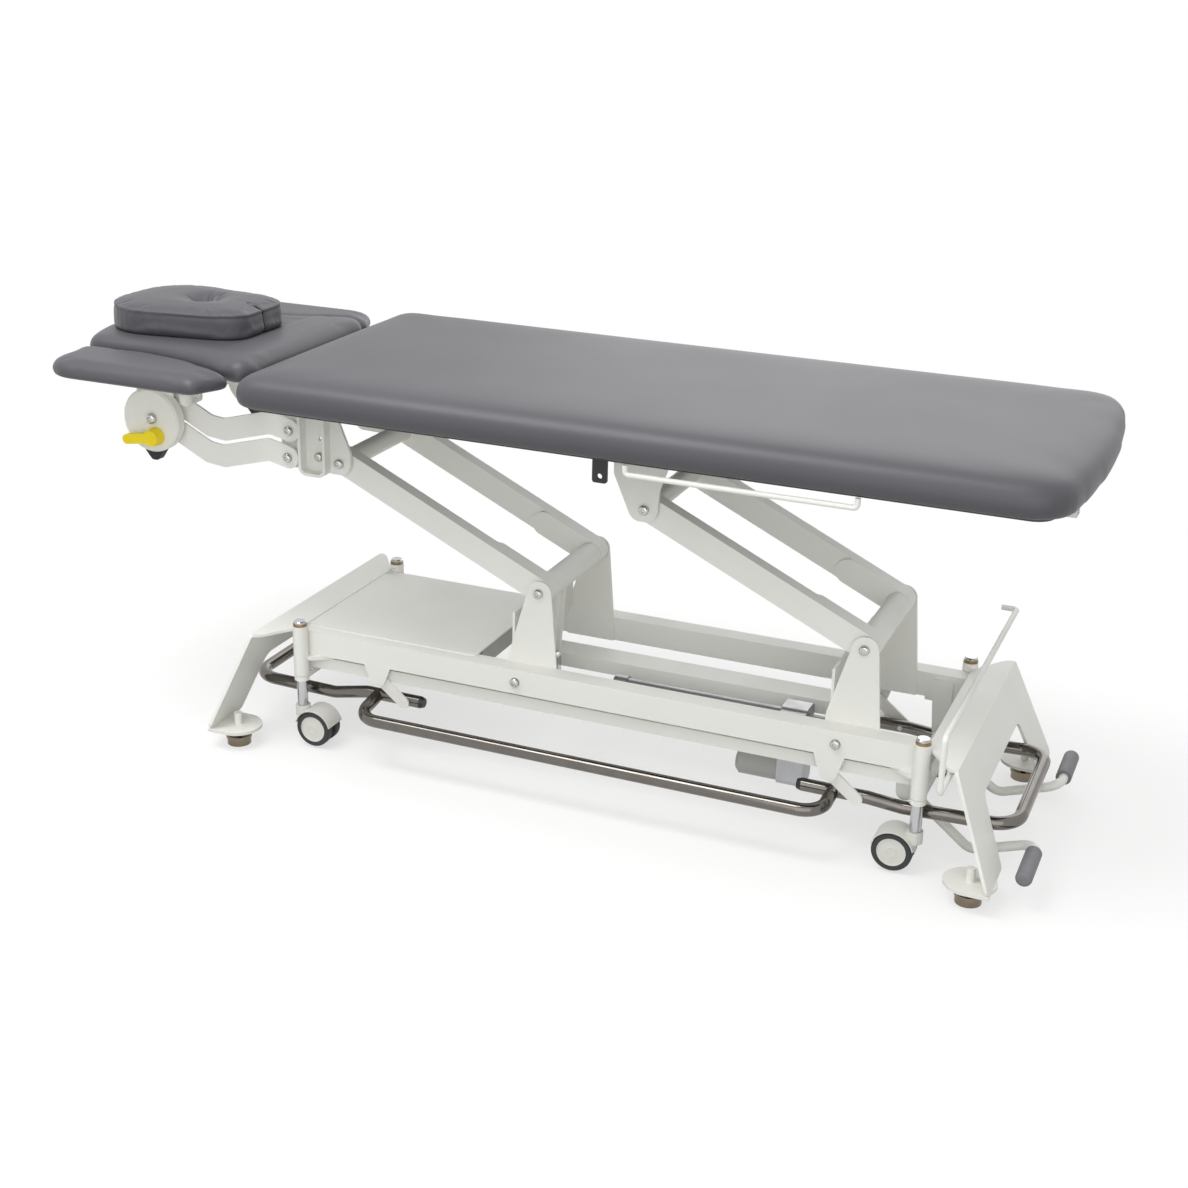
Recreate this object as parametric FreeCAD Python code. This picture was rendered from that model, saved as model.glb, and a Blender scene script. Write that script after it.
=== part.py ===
"""Electric physiotherapy table: a two-section couch on a parallelogram lift."""
import FreeCAD, Part
import math
import os
from FreeCAD import Vector as V

os.makedirs("parts", exist_ok=True)

# Clearances, mm
RUN = 0.05            # radial running fit of a pin in its bore
OPEN_FIT = 0.4        # radial gap at a pivot the mechanism leaves open
SIDE = 1.0            # side gap between plates that pass each other
SEAM = 6.0            # gap between the face section and an armrest
PAST = 1.0            # how far a cutter runs past a face
LAP = 0.5             # overlap that welds two pieces into one
THROUGH = 1000.0      # cutter that passes right through

# Lift linkage, mm
LIFT_SPAN = 637.9     # distance between the two parallel lift arms
COLUMN_X = -134.4     # head column pivot
COLUMN_Z = 389.1
COLUMN_BACK = 57.0    # web of a column behind its pivot
COLUMN_TOE = 65.0     # rear corner of a cheek behind the pivot
COLUMN_FRONT = 42.0
WEB_TOP = 340.0
WEB_SIDE = 258.0      # lower edge of the web at the cheeks
WEB_LOW = 213.0       # lower edge of the web beside the tie tube
ARM_DX = -427.7       # upper pivot as seen from the lower pivot, at rest
ARM_DZ = 200.2
ARM_TALL = 50.0
ARM_IN = 110.0
ARM_OUT = 140.0
DOUBLER = 8.0         # plate beside the lower end of an arm
DOUBLER_SHARE = 0.24  # doubler length as a share of the arm
PIVOT_R = 8.0
PIVOT_HEAD_R = 9.5
PIVOT_HEAD = 5.0
LOBE_R = 24.0
TORQUE_R = 24.0
SPREADER_R = 19.0
SHEET = 5.0

# Base, mm
RAIL_IN = 148.0
RAIL_OUT = 188.0
RAIL_Z0 = 190.0
RAIL_Z1 = 240.0
RAIL_WALL = 3.0
RAIL_END = 640.0
GUSSET = 8.0
GUSSET_LONG = 74.0
POST_X = 634.0
POST_Y = 202.0
POST_R = 15.0
POST_Z0 = 149.0
POST_Z1 = 255.0
BUSH_R = 14.0
BUSH_BORE = 9.0
BUSH_TALL = 5.0
CAP_R = 12.5
CAP_TALL = 6.0
CAP_BEVEL = 1.5
STEM_R = 11.0
STEM_LOW = 65.0
STEM_TOP = 238.0
SPIGOT_R = 6.0
FRAME_PLATE = 6.0
FRAME_BEND_X = 710.0
FRAME_SLOPE = 0.405   # outward run of the end panel per mm of drop
FRAME_FOOT_Z = 42.0
FRAME_TOP_HALF = 268.0
FRAME_LOW_HALF = 315.0
ARCH_LOW_HALF = 197.0  # opening between the legs of the end panel
ARCH_TOP_HALF = 166.0
ARCH_Z = 165.0
FOOT_SET = 42.6       # levelling foot inside the end panel
FOOT_Y = 265.0
FOOT_R = 26.0
FOOT_COLLAR = 6.0
FOOT_BASE_R = 24.0
FOOT_BASE = 14.0
FOOT_TAB_R = 48.0
FOOT_STUD_R = 8.0
FOOT_STUD = 25.0
TIE_HALF = 30.0
TIE_Z0 = 194.0
TIE_Z1 = 222.0
TIE_WALL = 3.0
PAPER_X = 693.0       # paper rod across the foot end
PAPER_Y = 325.0
PAPER_Z = 331.0
PAPER_R = 5.5
PAPER_TAIL = 30.0
PAPER_SET = 22.0
PAPER_DROP = 14.0
COVER_END = -262.0
COVER = 3.0
COVER_LAP = 14.0
CONTROL_LONG = 130.0
CONTROL_SET = 20.0
CONTROL_HALF = 90.0
CONTROL_DROP = 10.0

# Casters and their lifting frame, mm
WHEEL_R = 37.5
WHEEL_TRAIL = 35.0
WHEEL_LIFT = 4.5      # wheel above the floor while the table stands on its feet
WHEEL_IN = 8.0
WHEEL_OUT = 24.0
WHEEL_EDGE = 2.5
DISH_R = 27.0
DISH = 2.0
AXLE_R = 4.0
HOOD_R = 40.3
HOOD_HALF = 26.0
HOOD_CUT = 9.0        # lower rim of the hood over the axle
HOOD_TOP = 82.4
SPINE_HALF = 7.0
BOSS_R = 15.0
STEM_SEAT = 0.6       # gap under the shoulder of a stem
YOKE_Z0 = 138.0
YOKE_Z1 = 148.0
YOKE_HALF = 8.0
COLLAR_R = 15.0
YOKE_GAP = 9.0        # near link bar under the rail
YOKE_BAR = 25.0
YOKE_SET = 2.0
PEDAL_X = 598.0
PEDAL_Z = 125.0
PEDAL_Y = 125.0
PEDAL_SHAFT_R = 9.0
PEDAL_BEND = 30.0
CRANK_X = 722.0       # lowest bend of a crank
CRANK_Z = 26.0
GRIP_X = 840.0
GRIP_Z = 65.0
GRIP_R = 15.0
GRIP_IN = 163.0
GRIP_OUT = 268.0
GRIP_ROUND = 9.0
GRIP_PIN_END = 6.0    # closed end of a grip
LUG = 6.0
LUG_R = 15.0

# Foot control bar, mm
BAR_R = 12.5
BAR_Y = 163.5
BAR_SIDE_Y = 255.0
BAR_SIDE_Z = 105.0
BAR_SIDE_HEAD_X = -478.0
BAR_SIDE_FOOT_X = 470.0
BAR_SIDE_BEND = 42.0
BAR_END_BEND = 48.0
BAR_LINK = (54.0, -43.0)   # lower pivot as seen from the upper pivot
BAR_LINK_WIDE = 24.0
BAR_PIN_R = 5.0
BAR_HEAD_X = -414.0
BAR_HEAD_Z = 119.0
BAR_FOOT_X = 517.0
BAR_FOOT_Z = 109.0
BAR_HEAD_DIP = ((-505.0, 119.0), (-580.0, 104.0), (-770.0, 108.0))
BAR_FOOT_DIP = ((535.0, 109.0), (600.0, 103.0), (805.0, 110.0))
PLUG_HEAD_X = -384.0
PLUG_FOOT_X = 410.0
PLUG_LONG = 9.0
PLUG_TAPER = 3.0
EAR_R = 13.0
EAR_HALF = 30.0

# Actuator, mm
LEVER_LONG = 200.0
LEVER_LEAN = math.radians(4.0)
LEVER_WIDE = 32.0
LEVER_PLATE = 6.0
LEVER_GAP = 3.0       # lever plate beside the rod eye
LEVER_PIN_R = 7.0
ACT_Y = -65.0
ACT_TUBE_R = 20.0
ACT_NOSE_R = 23.0
ACT_NOSE = 26.0
ACT_NOSE_X = -4.0
ACT_BORE_X = 240.0
ACT_CASE_X = 340.0
ACT_CASE = 50.0
ACT_CASE_HALF = 31.0
ACT_CASE_Z0 = 62.0
ACT_TAIL_R = 16.0
MOTOR_X = 255.0
MOTOR_Z = 86.0
MOTOR_R = 27.0
MOTOR_BEVEL = 7.0
ROD_R = 10.0
ROD_END_X = 112.0
EYE_HALF = 24.0
EYE_LOW = 22.0
EYE_HIGH = 48.0
EYE_WALL = 12.0
EYE_ROUND = 14.0
BLADE_HALF = 8.0
WEB_SLOT_HALF = 21.0

# Couch top, mm
CUSHION_Z0 = 728.0
CUSHION_TALL = 67.5
CUSHION_HALF = 345.0
CUSHION_HEAD_X = -693.0
CUSHION_FOOT_X = 880.0
CUSHION_BOW_R = 2120.0
CUSHION_HEAD_ROUND = 45.0
CUSHION_FOOT_ROUND = 77.0
BOARD = 6.0
BOARD_INSET = 40.0
TUBE_IN = 113.0
TUBE_OUT = 143.0
TUBE_TALL = 36.0
TUBE_WALL = 3.0
TUBE_HEAD_SET = 3.0
TUBE_FOOT_SET = 40.0
CROSS_X = (-660.0, -300.0, 180.0, 790.0)
CROSS_HALF = 15.0
CROSS_SET = 4.0
BRACKET = 7.0
CHANNEL_X0 = -642.0
CHANNEL_X1 = -582.0
CHANNEL_DEEP = 22.0
CHANNEL_WALL = 6.0
CHANNEL_HOLE = (8.0, 634.0, 4.0)   # along X from the middle, height, radius
CHANNEL_BOLT = (6.0, 598.0, 9.0)
CHANNEL_BOLT_HEAD = 6.0
ROD_RAIL_R = 5.0
ROD_RAIL_INSET = 15.0  # accessory rail inside the cushion edge
ROD_RAIL_X0 = 106.0
ROD_RAIL_X1 = 514.0
ROD_RAIL_DROP = 11.0
HOOK_X = 48.0
HOOK_HALF = 14.0
HOOK_INSET = 42.0
HOOK_TALL = 42.0
HOOK_HOLE = 12.0      # hole over the lower edge of the hook plate
HOOK_HOLE_R = 5.0

# Face section, mm
PAD_Z0 = 745.0
PAD_TALL = 45.0
PAD_HEAD_X = -1165.0
PAD_BODY_X = -711.0
PAD_BOW = math.radians(20.3)
PAD_BOW_R = 403.0
PAD_HEAD_HALF = 181.0
PAD_HEAD_ROUND = 40.0
PAD_SIDE = ((PAD_BODY_X, 256.0, 34.0), (-762.0, 233.0, 80.0), (-850.0, 196.0, 150.0),
            (-975.0, 174.0, 250.0))
REST_Z0 = 742.0
REST_TALL = 36.0
REST_HEAD_X = -1112.0
REST_BODY_X = -763.0
REST_PLATE = 5.0
LINK_X = -668.0       # link pivots on the couch bracket
LINK_Z = 592.0
LINK_GAP = 53.0       # height of the upper link pivot over the lower one
LINK_RUN = ((0, 0), (-45, 10), (-150, -18), (-185, -14), (-300, 44))
LINK_WIDE = 45.0
LINK_BEND = 26.0
LINK_PLATE = 6.0
LINK_PIN_R = 6.0
LINK_HEAD_R = 9.5
LINK_HEAD = 4.0
LINK_STAND = 4.0      # upper link outside the bracket
CARRIER_TUBE_R = 9.0
CARRIER_TUBE_SET = 36.0
TILT_X = -962.0
TILT_Z = 642.0
TILT_R = 8.0
TILT_HEAD_R = 11.0
TILT_HEAD = 4.0
DISC_X = -967.0
DISC_Z = 636.0
DISC_R = 65.0
DISC_IN = 174.0
DISC_OUT = 197.0
DISC_EDGE = 4.0
NECK = 4.0
NECK_HEAD = 42.0
NECK_BODY = 44.0
STOP_REACH = 82.0     # rubber stop below the disc centre
STOP_TOP = 52.0
KNOB_X = -954.0
KNOB_Z = 606.0
KNOB_STUD_R = 6.0
KNOB_STUD = 16.0
KNOB_R = 19.0
KNOB_TIP_R = 16.0
KNOB_LONG = 22.0
LEVER_RUN = (-58.0, -9.0)
LEVER_GRIP = 20.0
TRAY = 6.0
TRAY_HALF = 150.0
TRAY_BODY_X = -800.0
RIB_IN = 120.0
RIB_OUT = 126.0
RIB_HEAD_X = -1000.0
RIB_BODY_X = -812.0
STAY_SET = 107.0      # armrest stem towards the body from the disc
STAY_Y = 220.0
STAY_R = 8.0
STAY_TAIL = 4.0
SOCKET_R = 14.0
SOCKET_TALL = 20.0
BAR_LOW = 690.0       # underside of the armrest bar at its sockets
BAR_T = 8.0
BAR_HALF = 12.0
JOG_Y = 184.0
JOG_RISE = 24.0
PILLOW_TALL = 50.0
PILLOW_BODY_X = -815.0
PILLOW_HEAD_X = -1150.0
PILLOW_BODY_HALF = 138.0
PILLOW_HEAD_HALF = 142.0
PILLOW_BODY_ROUND = 60.0
PILLOW_HEAD_ROUND = 134.0
SLIT_HALF = 1.6
SLIT_SET = 20.0
TUFT_R = 20.0
TUFT_TIP_R = 1.5
TUFT_DEEP = 8.8

# Sections of the cushions: height, inset
COUCH_STEPS = ((0, 7), (5, 1.5), (10, 0), (34, 0), (46, 4), (56, 12), (63, 24),
               (66.5, 41), (CUSHION_TALL, 66))
PAD_STEPS = ((0, 5), (5, 0), (22, 0), (32, 3), (39, 9), (43, 18), (PAD_TALL, 32))
REST_STEPS = ((0, 8), (5, 1), (10, 0), (18, 1), (26, 6), (32, 15), (REST_TALL, 30))
PILLOW_STEPS = ((0, 3), (4, 0), (33, 0), (38, 2.5), (41.5, 8), (44.5, 20), (47.5, 42),
                (PILLOW_TALL, 75))

# Derived places, mm
FRONT_LOW = (COLUMN_X, COLUMN_Z)
REAR_LOW = (COLUMN_X + LIFT_SPAN, COLUMN_Z)
FRONT_UP = (COLUMN_X + ARM_DX, COLUMN_Z + ARM_DZ)
REAR_UP = (REAR_LOW[0] + ARM_DX, COLUMN_Z + ARM_DZ)
CHEEK_IN = RAIL_IN - SHEET
BACK_WALL = REAR_LOW[0] - COLUMN_BACK
STRIP_Z = RAIL_Z1 + FRAME_PLATE
FOOT_X = FRAME_BEND_X + (STRIP_Z - FRAME_FOOT_Z) * FRAME_SLOPE - FOOT_SET
LINK_OUT = RAIL_OUT - SHEET - SIDE      # outer face of the foot-bar links
LINK_FACE = LINK_OUT - SHEET            # inner face of the foot-bar links
WHEEL_Z = WHEEL_R + WHEEL_LIFT
YOKE_BAR_Z1 = RAIL_Z0 - YOKE_GAP
YOKE_BAR_Z0 = YOKE_BAR_Z1 - YOKE_BAR
ACT_Z = COLUMN_Z - LEVER_LONG * math.cos(LEVER_LEAN)
LEVER_X = COLUMN_X - LEVER_LONG * math.sin(LEVER_LEAN)
BOARD_Z = CUSHION_Z0 - BOARD
TUBE_Z = BOARD_Z - TUBE_TALL
BOW = math.asin((CUSHION_HALF - CUSHION_FOOT_ROUND) / CUSHION_BOW_R)
BRACKET_OUT = TUBE_OUT + BRACKET
CHANNEL_X = (CHANNEL_X0 + CHANNEL_X1) / 2
LINK_LAYER = BRACKET_OUT + LINK_STAND   # inner face of the upper head links
CARRIER_IN = LINK_LAYER + 2 * LINK_PLATE + 2 * SIDE
CARRIER_OUT = DISC_IN - SIDE
CARRY_X = LINK_X + LINK_RUN[-1][0]
CARRY_Z = LINK_Z + LINK_RUN[-1][1]
NECK_OUT = DISC_IN + NECK
TRAY_Z = PAD_Z0 - TRAY
STAY_X = DISC_X + STAY_SET
BAR_TOP = BAR_LOW + BAR_T
PILLOW_Z = PAD_Z0 + PAD_TALL
ORIGIN_X = -(PAD_HEAD_X + CUSHION_FOOT_X) / 2


def outline(points):
    """Flat list of edges of a rounded polygon, as (kind, points) in two axes."""
    count = len(points)
    corners = []
    for i in range(count):
        ax, ay = points[i - 1][:2]
        bx, by, radius = points[i]
        cx, cy = points[(i + 1) % count][:2]
        ua = (ax - bx, ay - by)
        uc = (cx - bx, cy - by)
        la, lc = math.hypot(*ua), math.hypot(*uc)
        ua = (ua[0] / la, ua[1] / la)
        uc = (uc[0] / lc, uc[1] / lc)
        half = math.acos(max(-1.0, min(1.0, ua[0] * uc[0] + ua[1] * uc[1]))) / 2
        if radius <= 0 or half > math.pi / 2 - 1e-3:
            corners.append(((bx, by), None, (bx, by)))
            continue
        run = radius / math.tan(half)
        mid = (ua[0] + uc[0], ua[1] + uc[1])
        size = math.hypot(*mid)
        reach = radius / math.sin(half) - radius
        corners.append(((bx + ua[0] * run, by + ua[1] * run),
                        (bx + mid[0] / size * reach, by + mid[1] / size * reach),
                        (bx + uc[0] * run, by + uc[1] * run)))
    edges = []
    for i in range(count):
        start, mid, end = corners[i]
        if mid:
            edges.append((start, mid, end))
        after = corners[(i + 1) % count][0]
        if math.hypot(after[0] - end[0], after[1] - end[1]) > 1e-4:
            edges.append((end, after))
    return edges


def wire(points, place):
    """Closed wire of a rounded polygon; place turns two axes into a point."""
    edges = []
    for ends in outline(points):
        spots = [place(*spot) for spot in ends]
        if len(spots) == 3:
            edges.append(Part.Arc(*spots).toShape())
        else:
            edges.append(Part.makeLine(*spots))
    return Part.Wire(edges)


def plate_xz(points, y0, y1):
    """Rounded polygon drawn in X and Z, as thick as y0 to y1."""
    face = Part.Face(wire(points, lambda x, z: V(x, y0, z)))
    return face.extrude(V(0, y1 - y0, 0))


def plate_xy(points, z0, z1):
    """Rounded polygon drawn in X and Y, as thick as z0 to z1."""
    face = Part.Face(wire(points, lambda x, y: V(x, y, z0)))
    return face.extrude(V(0, 0, z1 - z0))


def plate_yz(points, x0, x1):
    """Rounded polygon drawn in Y and Z, as thick as x0 to x1."""
    face = Part.Face(wire(points, lambda y, z: V(x0, y, z)))
    return face.extrude(V(x1 - x0, 0, 0))


def box(x0, x1, y0, y1, z0, z1):
    """Block between two corners."""
    return Part.makeBox(x1 - x0, y1 - y0, z1 - z0, V(x0, y0, z0))


def rod_x(y, z, radius, x0, x1):
    """Cylinder along X."""
    return Part.makeCylinder(radius, x1 - x0, V(x0, y, z), V(1, 0, 0))


def rod_y(x, z, radius, y0, y1):
    """Cylinder along Y."""
    return Part.makeCylinder(radius, y1 - y0, V(x, y0, z), V(0, 1, 0))


def rod_z(x, y, radius, z0, z1):
    """Cylinder along Z."""
    return Part.makeCylinder(radius, z1 - z0, V(x, y, z0), V(0, 0, 1))


def far(shape):
    """Copy on the far side of the middle plane."""
    return shape.mirror(V(0, 0, 0), V(0, 1, 0))


def other_end(shape):
    """Copy at the other end of the base."""
    return shape.mirror(V(0, 0, 0), V(1, 0, 0))


def fuse(shapes):
    """One solid from touching shapes."""
    return shapes[0].multiFuse(list(shapes[1:])).removeSplitter()


def strap(points, width, y0, y1, bend=30.0):
    """Flat bar of even width along a bent line in X and Z, with round ends."""
    half = width / 2
    left, right = [], []
    last = len(points) - 1
    for i, (x, z) in enumerate(points):
        before = points[max(i - 1, 0)]
        after = points[min(i + 1, last)]
        dirs = []
        for a, b in ((before, (x, z)), ((x, z), after)):
            run = math.hypot(b[0] - a[0], b[1] - a[1])
            if run > 0:
                dirs.append(((b[0] - a[0]) / run, (b[1] - a[1]) / run))
        ux = sum(d[0] for d in dirs)
        uz = sum(d[1] for d in dirs)
        size = math.hypot(ux, uz)
        ux, uz = ux / size, uz / size
        miter = half / (ux * dirs[0][0] + uz * dirs[0][1])
        push = half if i == last else -half if i == 0 else 0.0
        turn = half - 0.02 if i in (0, last) else bend
        cx, cz = x + ux * push, z + uz * push
        left.append((cx - uz * miter, cz + ux * miter, turn))
        right.append((cx + uz * miter, cz - ux * miter, turn))
    return plate_xz(left + right[::-1], y0, y1)


def bent_rod(points, radius, bend):
    """Round bar along straight runs joined by tangent bends."""
    edges = []
    start = V(*points[0])
    for i in range(1, len(points) - 1):
        here, after = V(*points[i]), V(*points[i + 1])
        back = (V(*points[i - 1]) - here).normalize()
        ahead = (after - here).normalize()
        half = back.getAngle(ahead) / 2
        run = bend / math.tan(half)
        middle = (back + ahead).normalize()
        first = here + back * run
        second = here + ahead * run
        top = here + middle * (bend / math.sin(half) - bend)
        edges.append(Part.makeLine(start, first))
        edges.append(Part.Arc(first, top, second).toShape())
        start = second
    edges.append(Part.makeLine(start, V(*points[-1])))
    path = Part.Wire(edges)
    heading = V(*points[1]) - V(*points[0])
    ring = Part.Wire(Part.makeCircle(radius, V(*points[0]), heading))
    return path.makePipeShell([ring], True, False)


def inset(points, depth):
    """Rounded polygon drawn in by an even depth, anticlockwise corners."""
    count = len(points)
    result = []
    for i in range(count):
        ax, ay = points[i - 1][:2]
        bx, by, radius = points[i]
        cx, cy = points[(i + 1) % count][:2]
        la, lc = math.hypot(bx - ax, by - ay), math.hypot(cx - bx, cy - by)
        na = (-(by - ay) / la, (bx - ax) / la)
        nc = (-(cy - by) / lc, (cx - bx) / lc)
        share = 1 + na[0] * nc[0] + na[1] * nc[1]
        hollow = (bx - ax) * (cy - by) - (by - ay) * (cx - bx) < 0
        turned = radius + depth if hollow else radius - depth
        result.append((bx + (na[0] + nc[0]) * depth / share,
                       by + (na[1] + nc[1]) * depth / share,
                       max(turned, 2.0)))
    return result


def cushion(points, z0, steps):
    """Upholstered block lofted through insets of one outline; steps are (height, inset)."""
    rings = []
    for height, depth in steps:
        level = z0 + height
        rings.append(wire(inset(points, depth), lambda x, y: V(x, y, level)))
    return Part.makeLoft(rings, True, True)


def save(name, shapes):
    """Write one node, moved so that the couch is centred on the frame."""
    whole = shapes[0] if len(shapes) == 1 else Part.makeCompound(shapes)
    moved = whole.copy()
    moved.translate(V(ORIGIN_X, 0, 0))
    moved.exportStep("parts/%s.step" % name)


def near_rail():
    """Box-tube side rail with its post gussets, foot-bar hangers and pedal lug."""
    rail = box(-RAIL_END, RAIL_END, -RAIL_OUT, -RAIL_IN, RAIL_Z0, RAIL_Z1)
    hollow = box(-RAIL_END - PAST, RAIL_END + PAST, -RAIL_OUT + RAIL_WALL, -RAIL_IN - RAIL_WALL,
                 RAIL_Z0 + RAIL_WALL, RAIL_Z1 - RAIL_WALL)
    pieces = [rail.cut(hollow)]
    heel = POST_X - GUSSET_LONG
    gusset = [(RAIL_END + 4, -RAIL_IN - 2, 4), (RAIL_END + 4, -POST_Y, 8),
              (POST_X - POST_R - 5, -POST_Y, 10), (heel, -RAIL_IN - 17, 6), (heel, -RAIL_IN - 2, 4)]
    wedge = plate_xy(gusset, RAIL_Z0 - GUSSET, RAIL_Z0)
    pieces += [wedge, other_end(wedge)]
    for x, z in ((BAR_HEAD_X, BAR_HEAD_Z), (BAR_FOOT_X, BAR_FOOT_Z)):
        up_x, up_z = x - BAR_LINK[0], z - BAR_LINK[1]
        root = RAIL_Z0 + RAIL_WALL
        ear = [(up_x - EAR_HALF, root, 0), (up_x - EAR_R, up_z - EAR_R, EAR_R - 0.1),
               (up_x + EAR_R, up_z - EAR_R, EAR_R - 0.1), (up_x + EAR_HALF, root, 0)]
        pieces.append(plate_xz(ear, -RAIL_OUT, -RAIL_OUT + SHEET))
        pieces.append(rod_y(up_x, up_z, BAR_PIN_R, -RAIL_OUT, -LINK_FACE + LAP))
    top = RAIL_Z1 - 10
    lug = [(PEDAL_X - 24, top, 6), (PEDAL_X - LUG_R, PEDAL_Z - LUG_R, LUG_R - 0.1),
           (PEDAL_X + LUG_R, PEDAL_Z - LUG_R, LUG_R - 0.1), (PEDAL_X + 18, top, 6)]
    bearing = plate_xz(lug, -RAIL_IN, -RAIL_IN + LUG)
    pieces.append(bearing.cut(rod_y(PEDAL_X, PEDAL_Z, PEDAL_SHAFT_R + RUN, -RAIL_IN - PAST, 0)))
    whole = fuse(pieces)
    for x in (-POST_X, POST_X):
        whole = whole.cut(rod_z(x, -POST_Y, POST_R, 0, THROUGH))
    return whole


def panel_x(z):
    """Outer face of the end panel at one height."""
    return FRAME_BEND_X + (STRIP_Z - z) * FRAME_SLOPE


def end_frame():
    """Bent plate at the foot end: top strip, raked panel with two legs, foot tabs."""
    near = [(RAIL_END, -RAIL_OUT, 5), (RAIL_END + 14, -POST_Y - 4, 24),
            (FRAME_BEND_X - 20, -FRAME_TOP_HALF + 10, 30), (FRAME_BEND_X, -FRAME_TOP_HALF, 5)]
    strip = near + [(x, -y, radius) for x, y, radius in near[::-1]]
    pieces = [plate_xy(strip, RAIL_Z1, STRIP_Z)]
    left = [(-FRAME_TOP_HALF, STRIP_Z, 8), (-FRAME_LOW_HALF, FRAME_FOOT_Z, 10),
            (-ARCH_LOW_HALF, FRAME_FOOT_Z, 10), (-ARCH_TOP_HALF, ARCH_Z, 24)]
    panel = left + [(-y, z, radius) for y, z, radius in left[::-1]]
    face = Part.Face(wire(panel, lambda y, z: V(panel_x(z), y, z)))
    inward = V(-1, 0, -FRAME_SLOPE).normalize() * FRAME_PLATE
    pieces.append(face.extrude(inward))
    low = FRAME_FOOT_Z - FRAME_PLATE
    edge = panel_x(FRAME_FOOT_Z) - PAST
    for y in (-FOOT_Y, FOOT_Y):
        pieces.append(box(FOOT_X, edge, y - FOOT_TAB_R, y + FOOT_TAB_R, low, FRAME_FOOT_Z))
        pieces.append(rod_z(FOOT_X, y, FOOT_TAB_R, low, FRAME_FOOT_Z))
        pieces.append(rod_z(FOOT_X, y, FOOT_STUD_R, FRAME_FOOT_Z, FRAME_FOOT_Z + FOOT_STUD))
    whole = fuse(pieces)
    for y in (-POST_Y, POST_Y):
        whole = whole.cut(rod_z(POST_X, y, POST_R, 0, THROUGH))
    return whole


def at_posts(make):
    """One copy of a shape at each of the four guide posts."""
    return [make(x, y) for x in (-POST_X, POST_X) for y in (-POST_Y, POST_Y)]


def guide_post(x, y):
    """Tube that guides a caster stem."""
    bore = rod_z(x, y, STEM_R + RUN, POST_Z0 - PAST, POST_Z1 + PAST)
    return rod_z(x, y, POST_R, POST_Z0, POST_Z1).cut(bore)


def post_bush(x, y):
    """Bronze ring on the post."""
    ring = rod_z(x, y, BUSH_R, POST_Z1, POST_Z1 + BUSH_TALL)
    return ring.cut(rod_z(x, y, BUSH_BORE, POST_Z1 - PAST, POST_Z1 + BUSH_TALL + PAST))


def post_cap(x, y):
    """Chromed plug in the ring."""
    seat = POST_Z1 + BUSH_TALL
    top = seat + CAP_TALL - CAP_BEVEL
    bevel = Part.makeCone(CAP_R, CAP_R - CAP_BEVEL, CAP_BEVEL, V(x, y, top))
    return fuse([rod_z(x, y, BUSH_BORE, POST_Z1, seat), rod_z(x, y, CAP_R, seat, top), bevel])


def levelling_foot(x, y):
    """Foot disc with a collar, on a threaded stem under the tab."""
    top = FOOT_BASE + FOOT_COLLAR
    stem = rod_z(x, y, SPIGOT_R - PAST, top - PAST, FRAME_FOOT_Z - FRAME_PLATE)
    return fuse([rod_z(x, y, FOOT_BASE_R, 0, FOOT_BASE), rod_z(x, y, FOOT_R, FOOT_BASE, top), stem])


def column(x, slot):
    """Folded sheet column: two cheeks on the rails and a web between them."""
    back = x - COLUMN_BACK
    cheek = [(x - COLUMN_TOE, RAIL_Z0, 3), (x + COLUMN_FRONT, RAIL_Z0, 3),
             (x + COLUMN_FRONT - 3, RAIL_Z1, 20), (x + LOBE_R, COLUMN_Z + LOBE_R, LOBE_R - 0.1),
             (x - LOBE_R, COLUMN_Z + LOBE_R, LOBE_R - 0.1), (x - LOBE_R, COLUMN_Z, 6),
             (x - COLUMN_TOE + 3, RAIL_Z1 + 15, 12)]
    side = plate_xz(cheek, -RAIL_IN, -CHEEK_IN)
    half, low = TIE_HALF + 3, TIE_Z0 - 2
    left = [(-CHEEK_IN, WEB_TOP, 0), (-CHEEK_IN, WEB_SIDE, 0), (-half, WEB_LOW, 8), (-half, low, 3)]
    web = left + [(-y, z, radius) for y, z, radius in left[::-1]]
    middle = plate_yz(web, back, back + SHEET)
    if slot:
        middle = middle.cut(box(back - PAST, back + SHEET + PAST, ACT_Y - WEB_SLOT_HALF,
                                ACT_Y + WEB_SLOT_HALF, 0, WEB_TOP - SHEET))
    else:
        foot, top = ACT_Z - EYE_HALF, WEB_SIDE + SHEET
        pad = [(ACT_Y - ACT_CASE_HALF, foot, 6), (ACT_Y + ACT_CASE_HALF, foot, 6),
               (ACT_Y + ACT_CASE_HALF, top, 0), (ACT_Y - ACT_CASE_HALF, top, 0)]
        middle = fuse([middle, plate_yz(pad, back, back + SHEET)])
    whole = fuse([side, far(side), middle])
    return whole.cut(rod_y(x, COLUMN_Z, PIVOT_R, -THROUGH, THROUGH))


def pivot_pin(x, z, face):
    """Shouldered pivot bolt with its head on the outer face of a plate."""
    shank = rod_y(x, z, PIVOT_R, -face, -ARM_IN + RAIL_WALL)
    head = rod_y(x, z, PIVOT_HEAD_R, -face - PIVOT_HEAD, -face)
    return fuse([shank, head])


def rail_bolt(x, z):
    """Round-headed bolt through the rail into the column."""
    washer = rod_y(x, z, LINK_HEAD_R, -RAIL_OUT - 3, -RAIL_OUT)
    return fuse([washer, rod_y(x, z, LINK_PIN_R, -RAIL_OUT - PIVOT_HEAD, -RAIL_OUT - 3)])


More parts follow.
